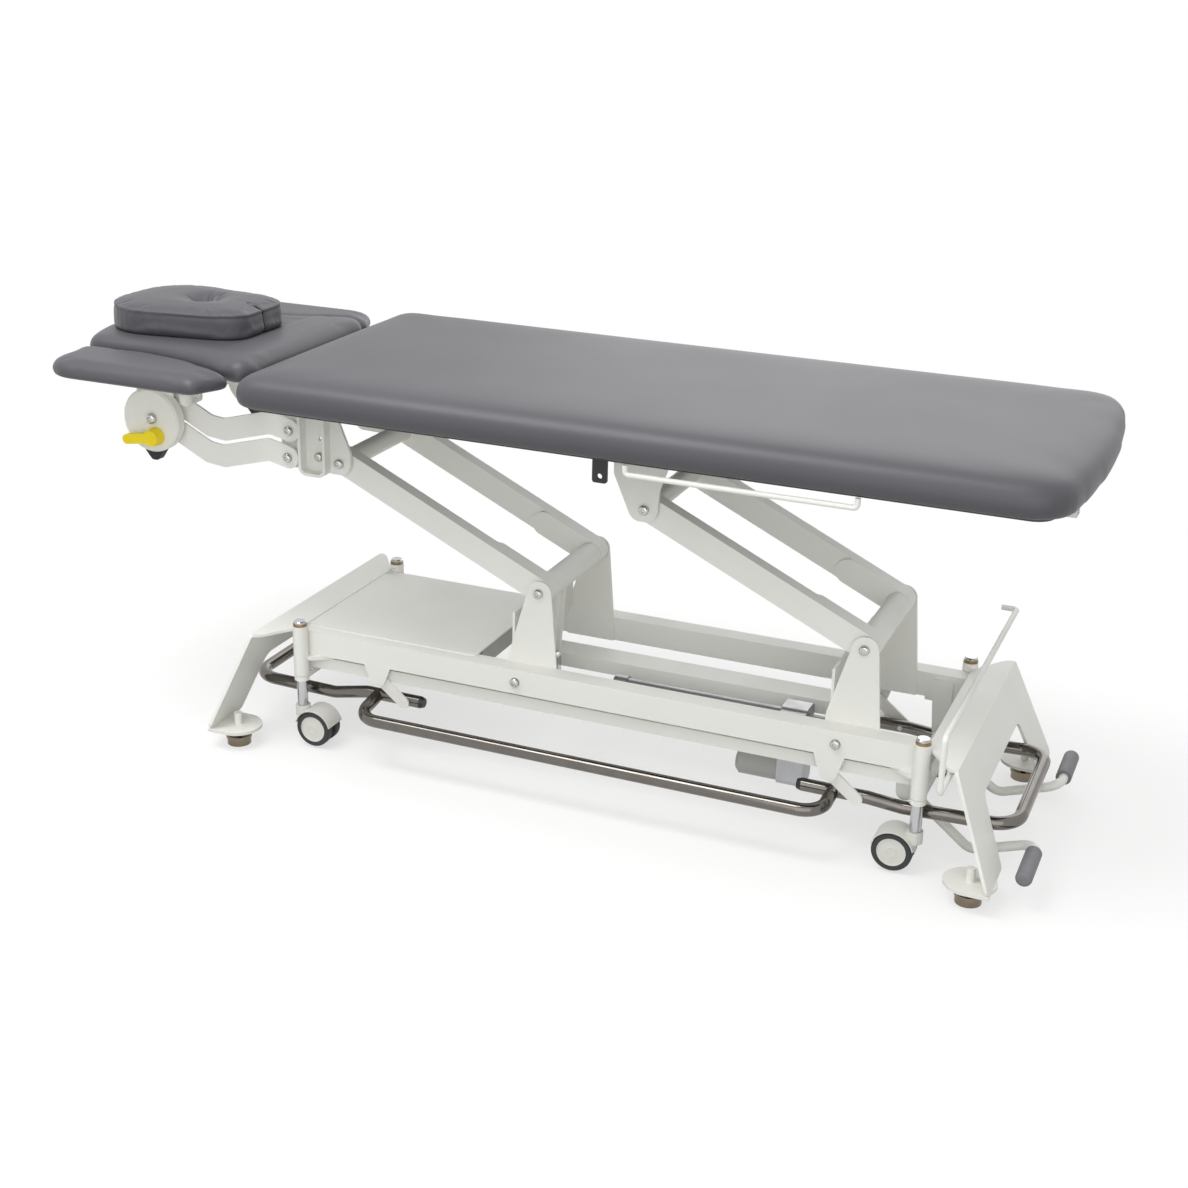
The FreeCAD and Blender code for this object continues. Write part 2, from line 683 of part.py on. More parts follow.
def tie_beam():
    """Flat tube between the two column webs."""
    x0 = COLUMN_X - COLUMN_BACK + SHEET
    beam = box(x0, BACK_WALL, -TIE_HALF, TIE_HALF, TIE_Z0, TIE_Z1)
    return beam.cut(box(x0 - PAST, BACK_WALL + PAST, -TIE_HALF + TIE_WALL, TIE_HALF - TIE_WALL,
                        TIE_Z0 + TIE_WALL, TIE_Z1 - TIE_WALL))


def paper_rod():
    """Bent rod across the foot end that carries a paper roll."""
    low, root = RAIL_Z1 - PAPER_DROP, -FOOT_Y + PAPER_SET
    line = [(PAPER_X - PAPER_TAIL, PAPER_Y, PAPER_Z), (PAPER_X, PAPER_Y, PAPER_Z),
            (PAPER_X, -PAPER_Y, PAPER_Z), (PAPER_X, -PAPER_Y, low), (PAPER_X, root, low),
            (PAPER_X, root, RAIL_Z1)]
    return bent_rod(line, PAPER_R, 8)


def cover_plate():
    """Sheet cover lying on the rails at the head end."""
    half = RAIL_IN + COVER_LAP
    sheet = [(-RAIL_END, -half, 6), (COVER_END, -half, 6), (COVER_END, half, 6), (-RAIL_END, half, 6)]
    return plate_xy(sheet, RAIL_Z1, RAIL_Z1 + COVER)


def control_box():
    """Electric control box hung under the cover."""
    x1 = COVER_END - CONTROL_SET
    x0, low = x1 - CONTROL_LONG, RAIL_Z0 - CONTROL_DROP
    body = [(x0, low, 8), (x1, low, 8), (x1, RAIL_Z1, 2), (x0, RAIL_Z1, 2)]
    return plate_xz(body, -CONTROL_HALF, CONTROL_HALF)


def actuator_body():
    """Outer tube with its gear case and rear mount against the foot column."""
    left, right, top = ACT_Y - ACT_CASE_HALF, ACT_Y + ACT_CASE_HALF, ACT_Z + ACT_CASE_HALF
    case = [(left, ACT_CASE_Z0, 12), (right, ACT_CASE_Z0, 12), (right, top, 14), (left, top, 14)]
    end = ACT_CASE_X + ACT_CASE
    pieces = [rod_x(ACT_Y, ACT_Z, ACT_TUBE_R, 0, ACT_CASE_X + PAST),
              rod_x(ACT_Y, ACT_Z, ACT_NOSE_R, ACT_NOSE_X, ACT_NOSE_X + ACT_NOSE),
              plate_yz(case, ACT_CASE_X, end), rod_x(ACT_Y, ACT_Z, ACT_TAIL_R, end - PAST, BACK_WALL)]
    return fuse(pieces).cut(rod_x(ACT_Y, ACT_Z, ROD_R + RUN, ACT_NOSE_X - PAST, ACT_BORE_X))


def actuator_motor():
    """Motor housing beside the gear case."""
    shell = rod_x(ACT_Y, MOTOR_Z, MOTOR_R, MOTOR_X + MOTOR_BEVEL, ACT_CASE_X)
    cap = Part.makeCone(MOTOR_R - MOTOR_BEVEL, MOTOR_R, MOTOR_BEVEL, V(MOTOR_X, ACT_Y, MOTOR_Z),
                        V(1, 0, 0))
    return fuse([shell, cap])


def actuator_rod():
    """Piston rod whose flat end has an upright eye for the lever pin."""
    def ring(half, low, high, radius):
        return [(LEVER_X - half, ACT_Z - low, radius), (LEVER_X + half, ACT_Z - low, radius),
                (LEVER_X + half, ACT_Z + high, radius), (LEVER_X - half, ACT_Z + high, radius)]

    blade = plate_xz(ring(EYE_HALF, EYE_LOW, EYE_HIGH, EYE_ROUND), ACT_Y - BLADE_HALF, ACT_Y + BLADE_HALF)
    slot = ring(EYE_HALF - EYE_WALL, EYE_LOW - EYE_WALL, EYE_HIGH - EYE_WALL, EYE_ROUND - 4)
    whole = fuse([blade, rod_x(ACT_Y, ACT_Z, ROD_R, LEVER_X + EYE_HALF - 4, ROD_END_X)])
    return whole.cut(plate_xz(slot, ACT_Y - TORQUE_R, ACT_Y + TORQUE_R))


def lift_arm(low, up, up_fit):
    """Pair of box arms joined by a torque tube below and a spreader tube above."""
    side = strap([low, up], ARM_TALL, -ARM_OUT, -ARM_IN)
    reach = (low[0] + (up[0] - low[0]) * DOUBLER_SHARE, low[1] + (up[1] - low[1]) * DOUBLER_SHARE)
    gusset = strap([low, reach], ARM_TALL, -ARM_IN, -ARM_IN + DOUBLER)
    pieces = [side, far(side), gusset, far(gusset),
              rod_y(low[0], low[1], TORQUE_R, -ARM_IN, ARM_IN),
              rod_y(up[0], up[1], SPREADER_R, -ARM_IN, ARM_IN)]
    whole = fuse(pieces)
    for (x, z), fit in ((low, RUN), (up, up_fit)):
        bore = rod_y(x, z, PIVOT_R + fit, -ARM_OUT - PAST, -ARM_IN + RAIL_WALL + PAST)
        whole = whole.cut(bore).cut(far(bore))
    return whole


def front_arm():
    """Driven arm pair with the twin lever and pin for the actuator."""
    tip = (LEVER_X, ACT_Z)
    inner = BLADE_HALF + LEVER_GAP
    outer = inner + LEVER_PLATE
    pieces = [lift_arm(FRONT_LOW, FRONT_UP, RUN)]
    for y in (ACT_Y - outer, ACT_Y + inner):
        pieces.append(strap([FRONT_LOW, tip], LEVER_WIDE, y, y + LEVER_PLATE))
    pieces.append(rod_y(tip[0], tip[1], LEVER_PIN_R, ACT_Y - outer, ACT_Y + outer))
    return fuse(pieces)


def couch_outline():
    """Plan of the body section, bowed at the foot end."""
    tip = CUSHION_FOOT_X + CUSHION_BOW_R * (1 / math.cos(BOW) - 1)
    corner = tip - CUSHION_HALF * math.tan(BOW)
    return [(CUSHION_HEAD_X, -CUSHION_HALF, CUSHION_HEAD_ROUND),
            (corner, -CUSHION_HALF, CUSHION_FOOT_ROUND), (tip, 0, CUSHION_BOW_R),
            (corner, CUSHION_HALF, CUSHION_FOOT_ROUND),
            (CUSHION_HEAD_X, CUSHION_HALF, CUSHION_HEAD_ROUND)]


def pad_outline():
    """Plan of the face section: waisted sides and a bowed head end."""
    tip = PAD_HEAD_X - PAD_BOW_R * (1 / math.cos(PAD_BOW) - 1)
    corner = (tip + PAD_HEAD_HALF * math.tan(PAD_BOW), PAD_HEAD_HALF, PAD_HEAD_ROUND)
    side = list(PAD_SIDE) + [corner]
    near = [(x, -y, radius) for x, y, radius in side]
    return near[::-1][4:] + side + [(tip, 0, PAD_BOW_R)] + near[::-1][:4]


def rest_outline():
    """Plan of the far armrest, its inner edge following the face section."""
    seam = inset(pad_outline(), -SEAM)
    waist = len(PAD_SIDE)
    inner = seam[2:waist + 1][::-1]
    start, end = seam[1], seam[waist + 1]
    return [(REST_BODY_X, CUSHION_HALF, 26), (REST_HEAD_X, CUSHION_HALF, 75),
            (end[0] + 3, end[1] - 1, 26)] + inner + [(start[0] - 22, start[1] - 3, 16)]


def pillow():
    """Face pillow with a slit to the body end and a tuft in the middle."""
    plan = [(PILLOW_BODY_X, -PILLOW_BODY_HALF, PILLOW_BODY_ROUND),
            (PILLOW_BODY_X, PILLOW_BODY_HALF, PILLOW_BODY_ROUND),
            (PILLOW_HEAD_X, PILLOW_HEAD_HALF, PILLOW_HEAD_ROUND),
            (PILLOW_HEAD_X, -PILLOW_HEAD_HALF, PILLOW_HEAD_ROUND)]
    whole = cushion(plan, PILLOW_Z, PILLOW_STEPS)
    middle = (PILLOW_BODY_X + PILLOW_HEAD_X) / 2
    top = PILLOW_Z + PILLOW_TALL
    slit = box(middle + SLIT_SET, PILLOW_BODY_X + PAST, -SLIT_HALF, SLIT_HALF, PAD_Z0, top + PAST)
    tuft = Part.makeCone(TUFT_TIP_R, TUFT_R, TUFT_DEEP + LAP, V(middle, 0, top - TUFT_DEEP))
    return whole.cut(slit).cut(tuft)


def upper_frame():
    """Welded tube frame under the couch board."""
    x0, x1 = CUSHION_HEAD_X + TUBE_HEAD_SET, CUSHION_FOOT_X - TUBE_FOOT_SET
    tube = box(x0, x1, -TUBE_OUT, -TUBE_IN, TUBE_Z, BOARD_Z)
    tube = tube.cut(box(x0 - PAST, x1 + PAST, -TUBE_OUT + TUBE_WALL, -TUBE_IN - TUBE_WALL,
                        TUBE_Z + TUBE_WALL, BOARD_Z - TUBE_WALL))
    pieces = [tube, far(tube)]
    for x in CROSS_X:
        pieces.append(box(x - CROSS_HALF, x + CROSS_HALF, -TUBE_IN - LAP, TUBE_IN + LAP,
                          TUBE_Z + CROSS_SET, BOARD_Z))
    return fuse(pieces)


def head_bracket():
    """Plate with the arm pivot, the link lug and an open channel on its face."""
    x, z = FRONT_UP
    plate = [(LINK_X - LOBE_R, BOARD_Z, 4), (LINK_X - LOBE_R, z - LOBE_R + 3, 16),
             (x + LOBE_R, z - LOBE_R, LOBE_R - 0.1), (x + LOBE_R, z + LOBE_R, 20),
             (x - 20, BOARD_Z, 8)]
    back = plate_xz(plate, -BRACKET_OUT, -TUBE_OUT)
    low, wall = z - LOBE_R - 4, CHANNEL_WALL
    rim = [(CHANNEL_X0, BOARD_Z, 1), (CHANNEL_X0, low, 17), (CHANNEL_X1, low, 17),
           (CHANNEL_X1, BOARD_Z, 1)]
    well = [(CHANNEL_X0 + wall, BOARD_Z + PAST, 0), (CHANNEL_X0 + wall, low + wall, 11),
            (CHANNEL_X1 - wall, low + wall, 11), (CHANNEL_X1 - wall, BOARD_Z + PAST, 0)]
    face = -BRACKET_OUT - CHANNEL_DEEP
    trough = plate_xz(rim, face, -BRACKET_OUT).cut(plate_xz(well, face - PAST, -BRACKET_OUT))
    whole = fuse([back, trough])
    bores = [(x, z, PIVOT_R), (CHANNEL_X + CHANNEL_HOLE[0], CHANNEL_HOLE[1], CHANNEL_HOLE[2]),
             (LINK_X, LINK_Z, LINK_PIN_R), (LINK_X, LINK_Z + LINK_GAP, LINK_PIN_R)]
    for bore_x, bore_z, radius in bores:
        whole = whole.cut(rod_y(bore_x, bore_z, radius, -THROUGH, 0))
    return whole


def rear_bracket():
    """Plate with the rear arm pivot and a tab towards the head."""
    x, z = REAR_UP
    plate = [(x - 62, BOARD_Z, 4), (x - 62, z + 62, 10), (x - LOBE_R, z - LOBE_R, LOBE_R - 0.1),
             (x + LOBE_R, z - LOBE_R, LOBE_R - 0.1), (x + LOBE_R + 4, z + 40, 20), (x + 60, BOARD_Z, 4)]
    return plate_xz(plate, -BRACKET_OUT, -TUBE_OUT).cut(rod_y(x, z, PIVOT_R, -THROUGH, 0))


def link_pins():
    """Link pivot bolts of one side, with the channel bolt."""
    lower_face = LINK_LAYER + 2 * LINK_PLATE + SIDE
    upper_face = LINK_LAYER + LINK_PLATE
    pins = []
    for z, face in ((LINK_Z, lower_face), (LINK_Z + LINK_GAP, upper_face)):
        shank = rod_y(LINK_X, z, LINK_PIN_R, -face - SIDE, -TUBE_OUT)
        head = rod_y(LINK_X, z, LINK_HEAD_R, -face - SIDE - LINK_HEAD, -face - SIDE / 2)
        pins.append(fuse([shank, head]))
    along, height, radius = CHANNEL_BOLT
    pins.append(rod_y(CHANNEL_X + along, height, radius, -BRACKET_OUT - CHANNEL_BOLT_HEAD, -BRACKET_OUT))
    return pins


def head_link(raised, inner):
    """Bent flat link between the couch bracket and the face-section carrier."""
    base = LINK_Z + raised
    line = [(LINK_X + dx, base + dz) for dx, dz in LINK_RUN]
    bar = strap(line, LINK_WIDE, -inner - LINK_PLATE, -inner, LINK_BEND)
    fits = (RUN, OPEN_FIT if raised else RUN)
    for (x, z), fit in zip((line[0], line[-1]), fits):
        bar = bar.cut(rod_y(x, z, LINK_PIN_R + fit, -THROUGH, 0))
    return bar


def carrier():
    """Plates behind the discs with link studs, joined by a cross tube."""
    top, middle = CARRY_Z + LINK_GAP + 20, CARRY_Z + LINK_GAP / 2 + 2
    plate = [(CARRY_X - 20, CARRY_Z - 24, 18), (CARRY_X + 28, CARRY_Z - 24, 18),
             (CARRY_X + 22, top, 18), (CARRY_X - 20, top, 18),
             (CARRY_X - CARRIER_TUBE_SET - 20, middle, 16)]
    side = plate_xz(plate, -CARRIER_OUT, -CARRIER_IN)
    root = -CARRIER_IN - PAST
    lower = rod_y(CARRY_X, CARRY_Z, LINK_PIN_R, root, -CARRIER_IN + LINK_PLATE + SIDE)
    upper = rod_y(CARRY_X, CARRY_Z + LINK_GAP, LINK_PIN_R, root, -LINK_LAYER + SIDE / 2)
    half = fuse([side, lower, upper]).cut(rod_y(TILT_X, TILT_Z, TILT_R, -THROUGH, -CARRIER_IN - RUN))
    tube = rod_y(CARRY_X - CARRIER_TUBE_SET, middle, CARRIER_TUBE_R, root, -root)
    return fuse([half, far(half), tube])


def tilt_bolt():
    """Bolt that carries the disc on the carrier."""
    shank = rod_y(TILT_X, TILT_Z, TILT_R, -DISC_OUT - SIDE, -CARRIER_IN - RUN)
    head = rod_y(TILT_X, TILT_Z, TILT_HEAD_R, -DISC_OUT - SIDE - TILT_HEAD, -DISC_OUT - SIDE)
    return fuse([shank, head])


def tilt_disc():
    """Round housing with a neck plate up to the face-section frame."""
    disc = rod_y(DISC_X, DISC_Z, DISC_R, -DISC_OUT, -DISC_IN)
    edge = [e for e in disc.Edges if abs(e.CenterOfMass.y + DISC_OUT) < LAP and len(e.Vertexes) == 1]
    disc = disc.makeChamfer(DISC_EDGE, edge)
    neck = [(DISC_X - NECK_HEAD, DISC_Z, 4), (DISC_X + NECK_BODY, DISC_Z, 4),
            (DISC_X + NECK_BODY, TRAY_Z, 3), (DISC_X - NECK_HEAD, TRAY_Z, 3)]
    whole = fuse([disc, plate_xz(neck, -NECK_OUT, -DISC_IN)])
    return whole.cut(rod_y(TILT_X, TILT_Z, TILT_R + RUN, -THROUGH, 0))


def bumper():
    """Rubber stop under the disc."""
    top, low = DISC_Z - STOP_TOP, DISC_Z - STOP_REACH
    block = [(DISC_X - 28, top, 2), (DISC_X - 4, low, 7), (DISC_X + 10, low, 7), (DISC_X + 30, top, 2)]
    solid = plate_xz(block, -DISC_OUT + DISC_EDGE, -DISC_IN - PAST)
    return solid.cut(rod_y(DISC_X, DISC_Z, DISC_R, -THROUGH, 0))


def lever_stud():
    """Stud of the clamping lever on the near disc."""
    return rod_y(KNOB_X, KNOB_Z, KNOB_STUD_R, -DISC_OUT - KNOB_STUD, -DISC_OUT)


def clamp_lever():
    """Clamping lever pointing to the head end."""
    face = DISC_OUT + SIDE
    hub = Part.makeCone(KNOB_R, KNOB_TIP_R, KNOB_LONG, V(KNOB_X, -face, KNOB_Z), V(0, -1, 0))
    tip = (KNOB_X + LEVER_RUN[0], KNOB_Z + LEVER_RUN[1])
    grip = strap([(KNOB_X, KNOB_Z), tip], LEVER_GRIP, -face - KNOB_LONG + 2, -face - SEAM)
    bore = rod_y(KNOB_X, KNOB_Z, KNOB_STUD_R + RUN, -DISC_OUT - KNOB_STUD - PAST, 0)
    return fuse([hub, grip]).cut(bore)


def head_frame():
    """Tray under the face section with ribs, a joggled bar and armrest sockets."""
    body_x, neck_x = DISC_X + NECK_BODY, DISC_X - NECK_HEAD
    near = [(neck_x, -NECK_OUT, 4), (body_x, -NECK_OUT, 4), (body_x + 14, -TRAY_HALF, 8),
            (TRAY_BODY_X, -TRAY_HALF, 12)]
    tray = near + [(x, -y, radius) for x, y, radius in near[::-1]]
    pieces = [plate_xy(tray, TRAY_Z, PAD_Z0)]
    raised = BAR_LOW + JOG_RISE
    sag = raised - TRAY
    rib = [(RIB_HEAD_X, TRAY_Z, 2), (RIB_HEAD_X, TRAY_Z - 20, 8), (STAY_X - 30, sag, 8),
           (STAY_X + 30, sag, 8), (RIB_BODY_X, TRAY_Z, 4)]
    side = plate_xz(rib, -RIB_OUT, -RIB_IN)
    socket = rod_z(STAY_X, -STAY_Y, SOCKET_R, BAR_LOW, BAR_LOW + SOCKET_TALL)
    step = JOG_Y + BAR_T
    jog = [(PAST, raised, 0), (-JOG_Y, raised, 4), (-JOG_Y, BAR_LOW, 6), (-STAY_Y, BAR_LOW, 0),
           (-STAY_Y, BAR_TOP, 0), (-step, BAR_TOP, 4), (-step, raised + BAR_T, 6),
           (PAST, raised + BAR_T, 0)]
    arm = plate_yz(jog, STAY_X - BAR_HALF, STAY_X + BAR_HALF)
    pieces += [side, far(side), socket, far(socket), arm, far(arm)]
    whole = fuse(pieces)
    bore = rod_z(STAY_X, -STAY_Y, STAY_R + RUN, 0, THROUGH)
    return whole.cut(bore).cut(far(bore))


def rest_mount():
    """Far armrest base plate and the stem that slides in the socket."""
    head, body, out = STAY_X - 200, STAY_X + 60, STAY_Y + 90
    base = [(head, STAY_Y - 16, 10), (STAY_X + 10, STAY_Y - 14, 10), (body, STAY_Y + 8, 10),
            (body, out, 20), (head, out, 20)]
    low = REST_Z0 - REST_PLATE
    stem = rod_z(STAY_X, STAY_Y, STAY_R, BAR_LOW - STAY_TAIL, low + PAST)
    return fuse([plate_xy(base, low, REST_Z0), stem])


def caster_hood(x, y):
    """Swivelling caster body between its two wheels, with a cover over them."""
    wheel_x = x - math.copysign(WHEEL_TRAIL, x)
    cover = rod_y(wheel_x, WHEEL_Z, HOOD_R, y - HOOD_HALF, y + HOOD_HALF)
    cover = cover.cut(box(wheel_x - 2 * HOOD_R, wheel_x + 2 * HOOD_R, y - 2 * HOOD_HALF,
                          y + 2 * HOOD_HALF, 0, WHEEL_Z + HOOD_CUT))
    low, high = y - SPINE_HALF, y + SPINE_HALF
    spine = rod_y(wheel_x, WHEEL_Z, DISH_R, low, high)
    neck = box(min(x, wheel_x) - 4, max(x, wheel_x) + 4, low, high, WHEEL_Z, HOOD_TOP - 6)
    boss = rod_z(x, y, BOSS_R, WHEEL_Z + 2 * HOOD_CUT, HOOD_TOP)
    whole = fuse([cover, spine, neck, boss])
    inner, outer = SPINE_HALF + RUN, HOOD_HALF + 2 * WHEEL_IN
    for y0, y1 in ((y + inner, y + outer), (y - outer, y - inner)):
        whole = whole.cut(rod_y(wheel_x, WHEEL_Z, WHEEL_R + SIDE, y0, y1))
    whole = whole.cut(rod_y(wheel_x, WHEEL_Z, AXLE_R + RUN, y - outer, y + outer))
    return whole.cut(rod_z(x, y, SPIGOT_R + RUN, STEM_LOW - PAST, HOOD_TOP + PAST))


def caster_wheel(x, y):
    """Pair of wheels on one axle."""
    wheel_x = x - math.copysign(WHEEL_TRAIL, x)
    pieces = [rod_y(wheel_x, WHEEL_Z, AXLE_R, y - WHEEL_OUT + 4, y + WHEEL_OUT - 4)]
    for y0, y1, face in ((WHEEL_IN, WHEEL_OUT, WHEEL_OUT - DISH), (-WHEEL_OUT, -WHEEL_IN, -WHEEL_OUT)):
        tread = rod_y(wheel_x, WHEEL_Z, WHEEL_R, y + y0, y + y1)
        rims = [e for e in tread.Edges if len(e.Vertexes) == 1]
        tread = tread.makeChamfer(WHEEL_EDGE, rims)
        pieces.append(tread.cut(rod_y(wheel_x, WHEEL_Z, DISH_R, y + face, y + face + DISH)))
    return fuse(pieces)


def caster_stem(x, y):
    """Chromed stem that slides in the guide post."""
    shoulder = HOOD_TOP + STEM_SEAT
    spigot = rod_z(x, y, SPIGOT_R, STEM_LOW, shoulder + PAST)
    return fuse([rod_z(x, y, STEM_R, shoulder, STEM_TOP), spigot])


def caster_yoke():
    """Frame that pushes all four stems down together, with the near link bar."""
    inner, outer = POST_X - YOKE_HALF, POST_X + YOKE_HALF
    y1 = -RAIL_IN - YOKE_SET
    y0 = y1 - YOKE_BAR
    cross = box(inner, outer, -POST_Y, POST_Y, YOKE_Z0, YOKE_Z1)
    bar = box(-outer, outer, y0, y1, YOKE_BAR_Z0, YOKE_BAR_Z1)
    riser = box(inner, outer, y0, y1, YOKE_Z1 - PAST, YOKE_BAR_Z0 + PAST)
    collars = at_posts(lambda x, y: rod_z(x, y, COLLAR_R, YOKE_Z0, YOKE_Z1))
    whole = fuse([cross, other_end(cross), bar, riser, other_end(riser)] + collars)
    for stem in at_posts(lambda x, y: rod_z(x, y, STEM_R, 0, THROUGH)):
        whole = whole.cut(stem)
    return whole


def pedal_cranks():
    """Cross shaft with two bent tube cranks that end in grip pins."""
    run = [(PEDAL_X, -PEDAL_Y, PEDAL_Z), (CRANK_X, -PEDAL_Y, CRANK_Z), (GRIP_X, -PEDAL_Y, GRIP_Z),
           (GRIP_X, -GRIP_OUT + GRIP_PIN_END, GRIP_Z)]
    crank = bent_rod(run, PEDAL_SHAFT_R, PEDAL_BEND)
    reach = RAIL_IN - LAP
    return fuse([rod_y(PEDAL_X, PEDAL_Z, PEDAL_SHAFT_R, -reach, reach), crank, far(crank)])


def pedal_grip():
    """Rubber roller grip on a crank pin."""
    roll = rod_y(GRIP_X, GRIP_Z, GRIP_R, -GRIP_OUT, -GRIP_IN)
    tip = [e for e in roll.Edges if len(e.Vertexes) == 1 and e.CenterOfMass.y < -GRIP_OUT + LAP]
    roll = roll.makeFillet(GRIP_ROUND, tip)
    return roll.cut(rod_y(GRIP_X, GRIP_Z, PEDAL_SHAFT_R, -GRIP_OUT + GRIP_PIN_END, 0))


def foot_bar():
    """Control bar round the base: a U at each end and a long bar on each side."""
    head = [(PLUG_HEAD_X, BAR_HEAD_Z)] + list(BAR_HEAD_DIP)
    foot = [(PLUG_FOOT_X, BAR_FOOT_Z)] + list(BAR_FOOT_DIP)
    pieces = []
    for run in (head, foot):
        near = [(x, -BAR_Y, z) for x, z in run]
        away = [(x, BAR_Y, z) for x, z in run[::-1]]
        pieces.append(bent_rod(near + away, BAR_R, BAR_END_BEND))
    side = [(BAR_SIDE_HEAD_X, -BAR_Y, BAR_HEAD_Z), (BAR_SIDE_HEAD_X, -BAR_SIDE_Y, BAR_SIDE_Z),
            (BAR_SIDE_FOOT_X, -BAR_SIDE_Y, BAR_SIDE_Z), (BAR_SIDE_FOOT_X, -BAR_Y, BAR_FOOT_Z)]
    rail = bent_rod(side, BAR_R, BAR_SIDE_BEND)
    whole = fuse(pieces + [rail, far(rail)])
    for x, z, fit in ((BAR_HEAD_X, BAR_HEAD_Z, RUN), (BAR_FOOT_X, BAR_FOOT_Z, OPEN_FIT)):
        bore = rod_y(x, z, BAR_PIN_R + fit, -BAR_Y - 2 * BAR_R, -BAR_Y + 2 * BAR_R)
        whole = whole.cut(bore).cut(far(bore))
    return whole


def foot_link(x, z):
    """Flat hanger link of the control bar with its lower pin."""
    up = (x - BAR_LINK[0], z - BAR_LINK[1])
    bar = strap([up, (x, z)], BAR_LINK_WIDE, -LINK_OUT, -LINK_FACE)
    bar = bar.cut(rod_y(up[0], up[1], BAR_PIN_R + RUN, -THROUGH, 0))
    return fuse([bar, rod_y(x, z, BAR_PIN_R, -LINK_FACE - PAST, -BAR_Y + BAR_R - LAP)])


def bar_plugs():
    """Plastic plugs on the free ends of the control bar."""
    plugs = []
    for x, way, z in ((PLUG_HEAD_X, 1, BAR_HEAD_Z), (PLUG_FOOT_X, -1, BAR_FOOT_Z)):
        head = Part.makeCone(BAR_R, BAR_R - PLUG_TAPER, PLUG_LONG, V(x, -BAR_Y, z), V(way, 0, 0))
        plugs += [head, far(head)]
    return plugs


def hook_plate():
    """Small hook plate under the near couch edge."""
    x0, x1, low = HOOK_X - HOOK_HALF, HOOK_X + HOOK_HALF, BOARD_Z - HOOK_TALL
    plate = [(x0, BOARD_Z, 1), (x0, low, 5), (x1, low, 5), (x1, BOARD_Z, 1)]
    y = -CUSHION_HALF + HOOK_INSET
    hole = rod_y(HOOK_X, low + HOOK_HOLE, HOOK_HOLE_R, y - PAST, y + SHEET + PAST)
    return plate_xz(plate, y, y + SHEET).cut(hole)


def rod_rail():
    """Thin accessory rail under the near couch edge."""
    y, z = -CUSHION_HALF + ROD_RAIL_INSET, BOARD_Z - ROD_RAIL_DROP
    line = [(ROD_RAIL_X0, y, CUSHION_Z0), (ROD_RAIL_X0, y, z), (ROD_RAIL_X1, y, z),
            (ROD_RAIL_X1, y, CUSHION_Z0)]
    return bent_rod(line, ROD_RAIL_R, 7)


def build_base():
    """Write the nodes that stand on the floor."""
    rail = near_rail()
    save("rail_near", [rail])
    save("rail_far", [far(rail)])
    frame = end_frame()
    save("end_frame_foot", [frame])
    save("end_frame_head", [other_end(frame)])
    save("guide_posts", at_posts(guide_post))
    save("post_bushes", at_posts(post_bush))
    save("post_caps", at_posts(post_cap))
    spots = [(x, y) for x in (-FOOT_X, FOOT_X) for y in (-FOOT_Y, FOOT_Y)]
    save("levelling_feet", [levelling_foot(x, y) for x, y in spots])
    save("column_head", [column(FRONT_LOW[0], True)])
    save("column_foot", [column(REAR_LOW[0], False)])
    pins = [pivot_pin(x, z, RAIL_IN) for x, z in (FRONT_LOW, REAR_LOW)]
    save("lower_pivot_pins", pins + [far(pin) for pin in pins])
    bolts = [rail_bolt(x - 30, (RAIL_Z0 + RAIL_Z1) / 2) for x in (FRONT_LOW[0], REAR_LOW[0])]
    save("column_bolts", bolts + [far(bolt) for bolt in bolts])
    save("tie_beam", [tie_beam()])
    save("cover_plate", [cover_plate()])
    save("control_box", [control_box()])
    save("paper_rod", [paper_rod()])
    save("actuator_body", [actuator_body()])
    save("actuator_motor", [actuator_motor()])
    save("actuator_rod", [actuator_rod()])


def build_lift():
    """Write the arms and the couch they carry."""
    save("front_arm", [front_arm()])
    save("rear_arm", [lift_arm(REAR_LOW, REAR_UP, OPEN_FIT)])
    pins = [pivot_pin(x, z, BRACKET_OUT) for x, z in (FRONT_UP, REAR_UP)]
    save("upper_pivot_pins", pins + [far(pin) for pin in pins])
    save("upper_frame", [upper_frame()])
    bracket = head_bracket()
    save("head_brackets", [bracket, far(bracket)])
    rear = rear_bracket()
    save("rear_brackets", [rear, far(rear)])
    save("couch_board", [plate_xy(inset(couch_outline(), BOARD_INSET), BOARD_Z, CUSHION_Z0)])
    save("couch_cushion", [cushion(couch_outline(), CUSHION_Z0, COUCH_STEPS)])
    save("hook_plate", [hook_plate()])
    save("rod_rail", [rod_rail()])
    bolts = link_pins()
    save("head_bracket_bolts", bolts + [far(bolt) for bolt in bolts])


def build_face_section():
    """Write the adjustable face section and its armrests."""
    lower = head_link(0, LINK_LAYER + LINK_PLATE + SIDE)
    upper = head_link(LINK_GAP, LINK_LAYER)
    save("head_link_lower", [lower, far(lower)])
    save("head_link_upper", [upper, far(upper)])
    save("head_carrier", [carrier()])
    bolt = tilt_bolt()
    save("tilt_bolts", [bolt, far(bolt)])
    disc = tilt_disc()
    save("tilt_discs", [fuse([disc, lever_stud()]), far(disc)])
    stop = bumper()
    save("disc_bumpers", [stop, far(stop)])
    save("clamp_lever", [clamp_lever()])
    save("head_frame", [head_frame()])
    save("head_pad", [cushion(pad_outline(), PAD_Z0, PAD_STEPS)])
    save("face_pillow", [pillow()])
    rest = cushion(rest_outline(), REST_Z0, REST_STEPS)
    save("armrest_far", [rest])
    save("armrest_near", [far(rest)])
    mount = rest_mount()
    save("armrest_mount_far", [mount])
    save("armrest_mount_near", [far(mount)])


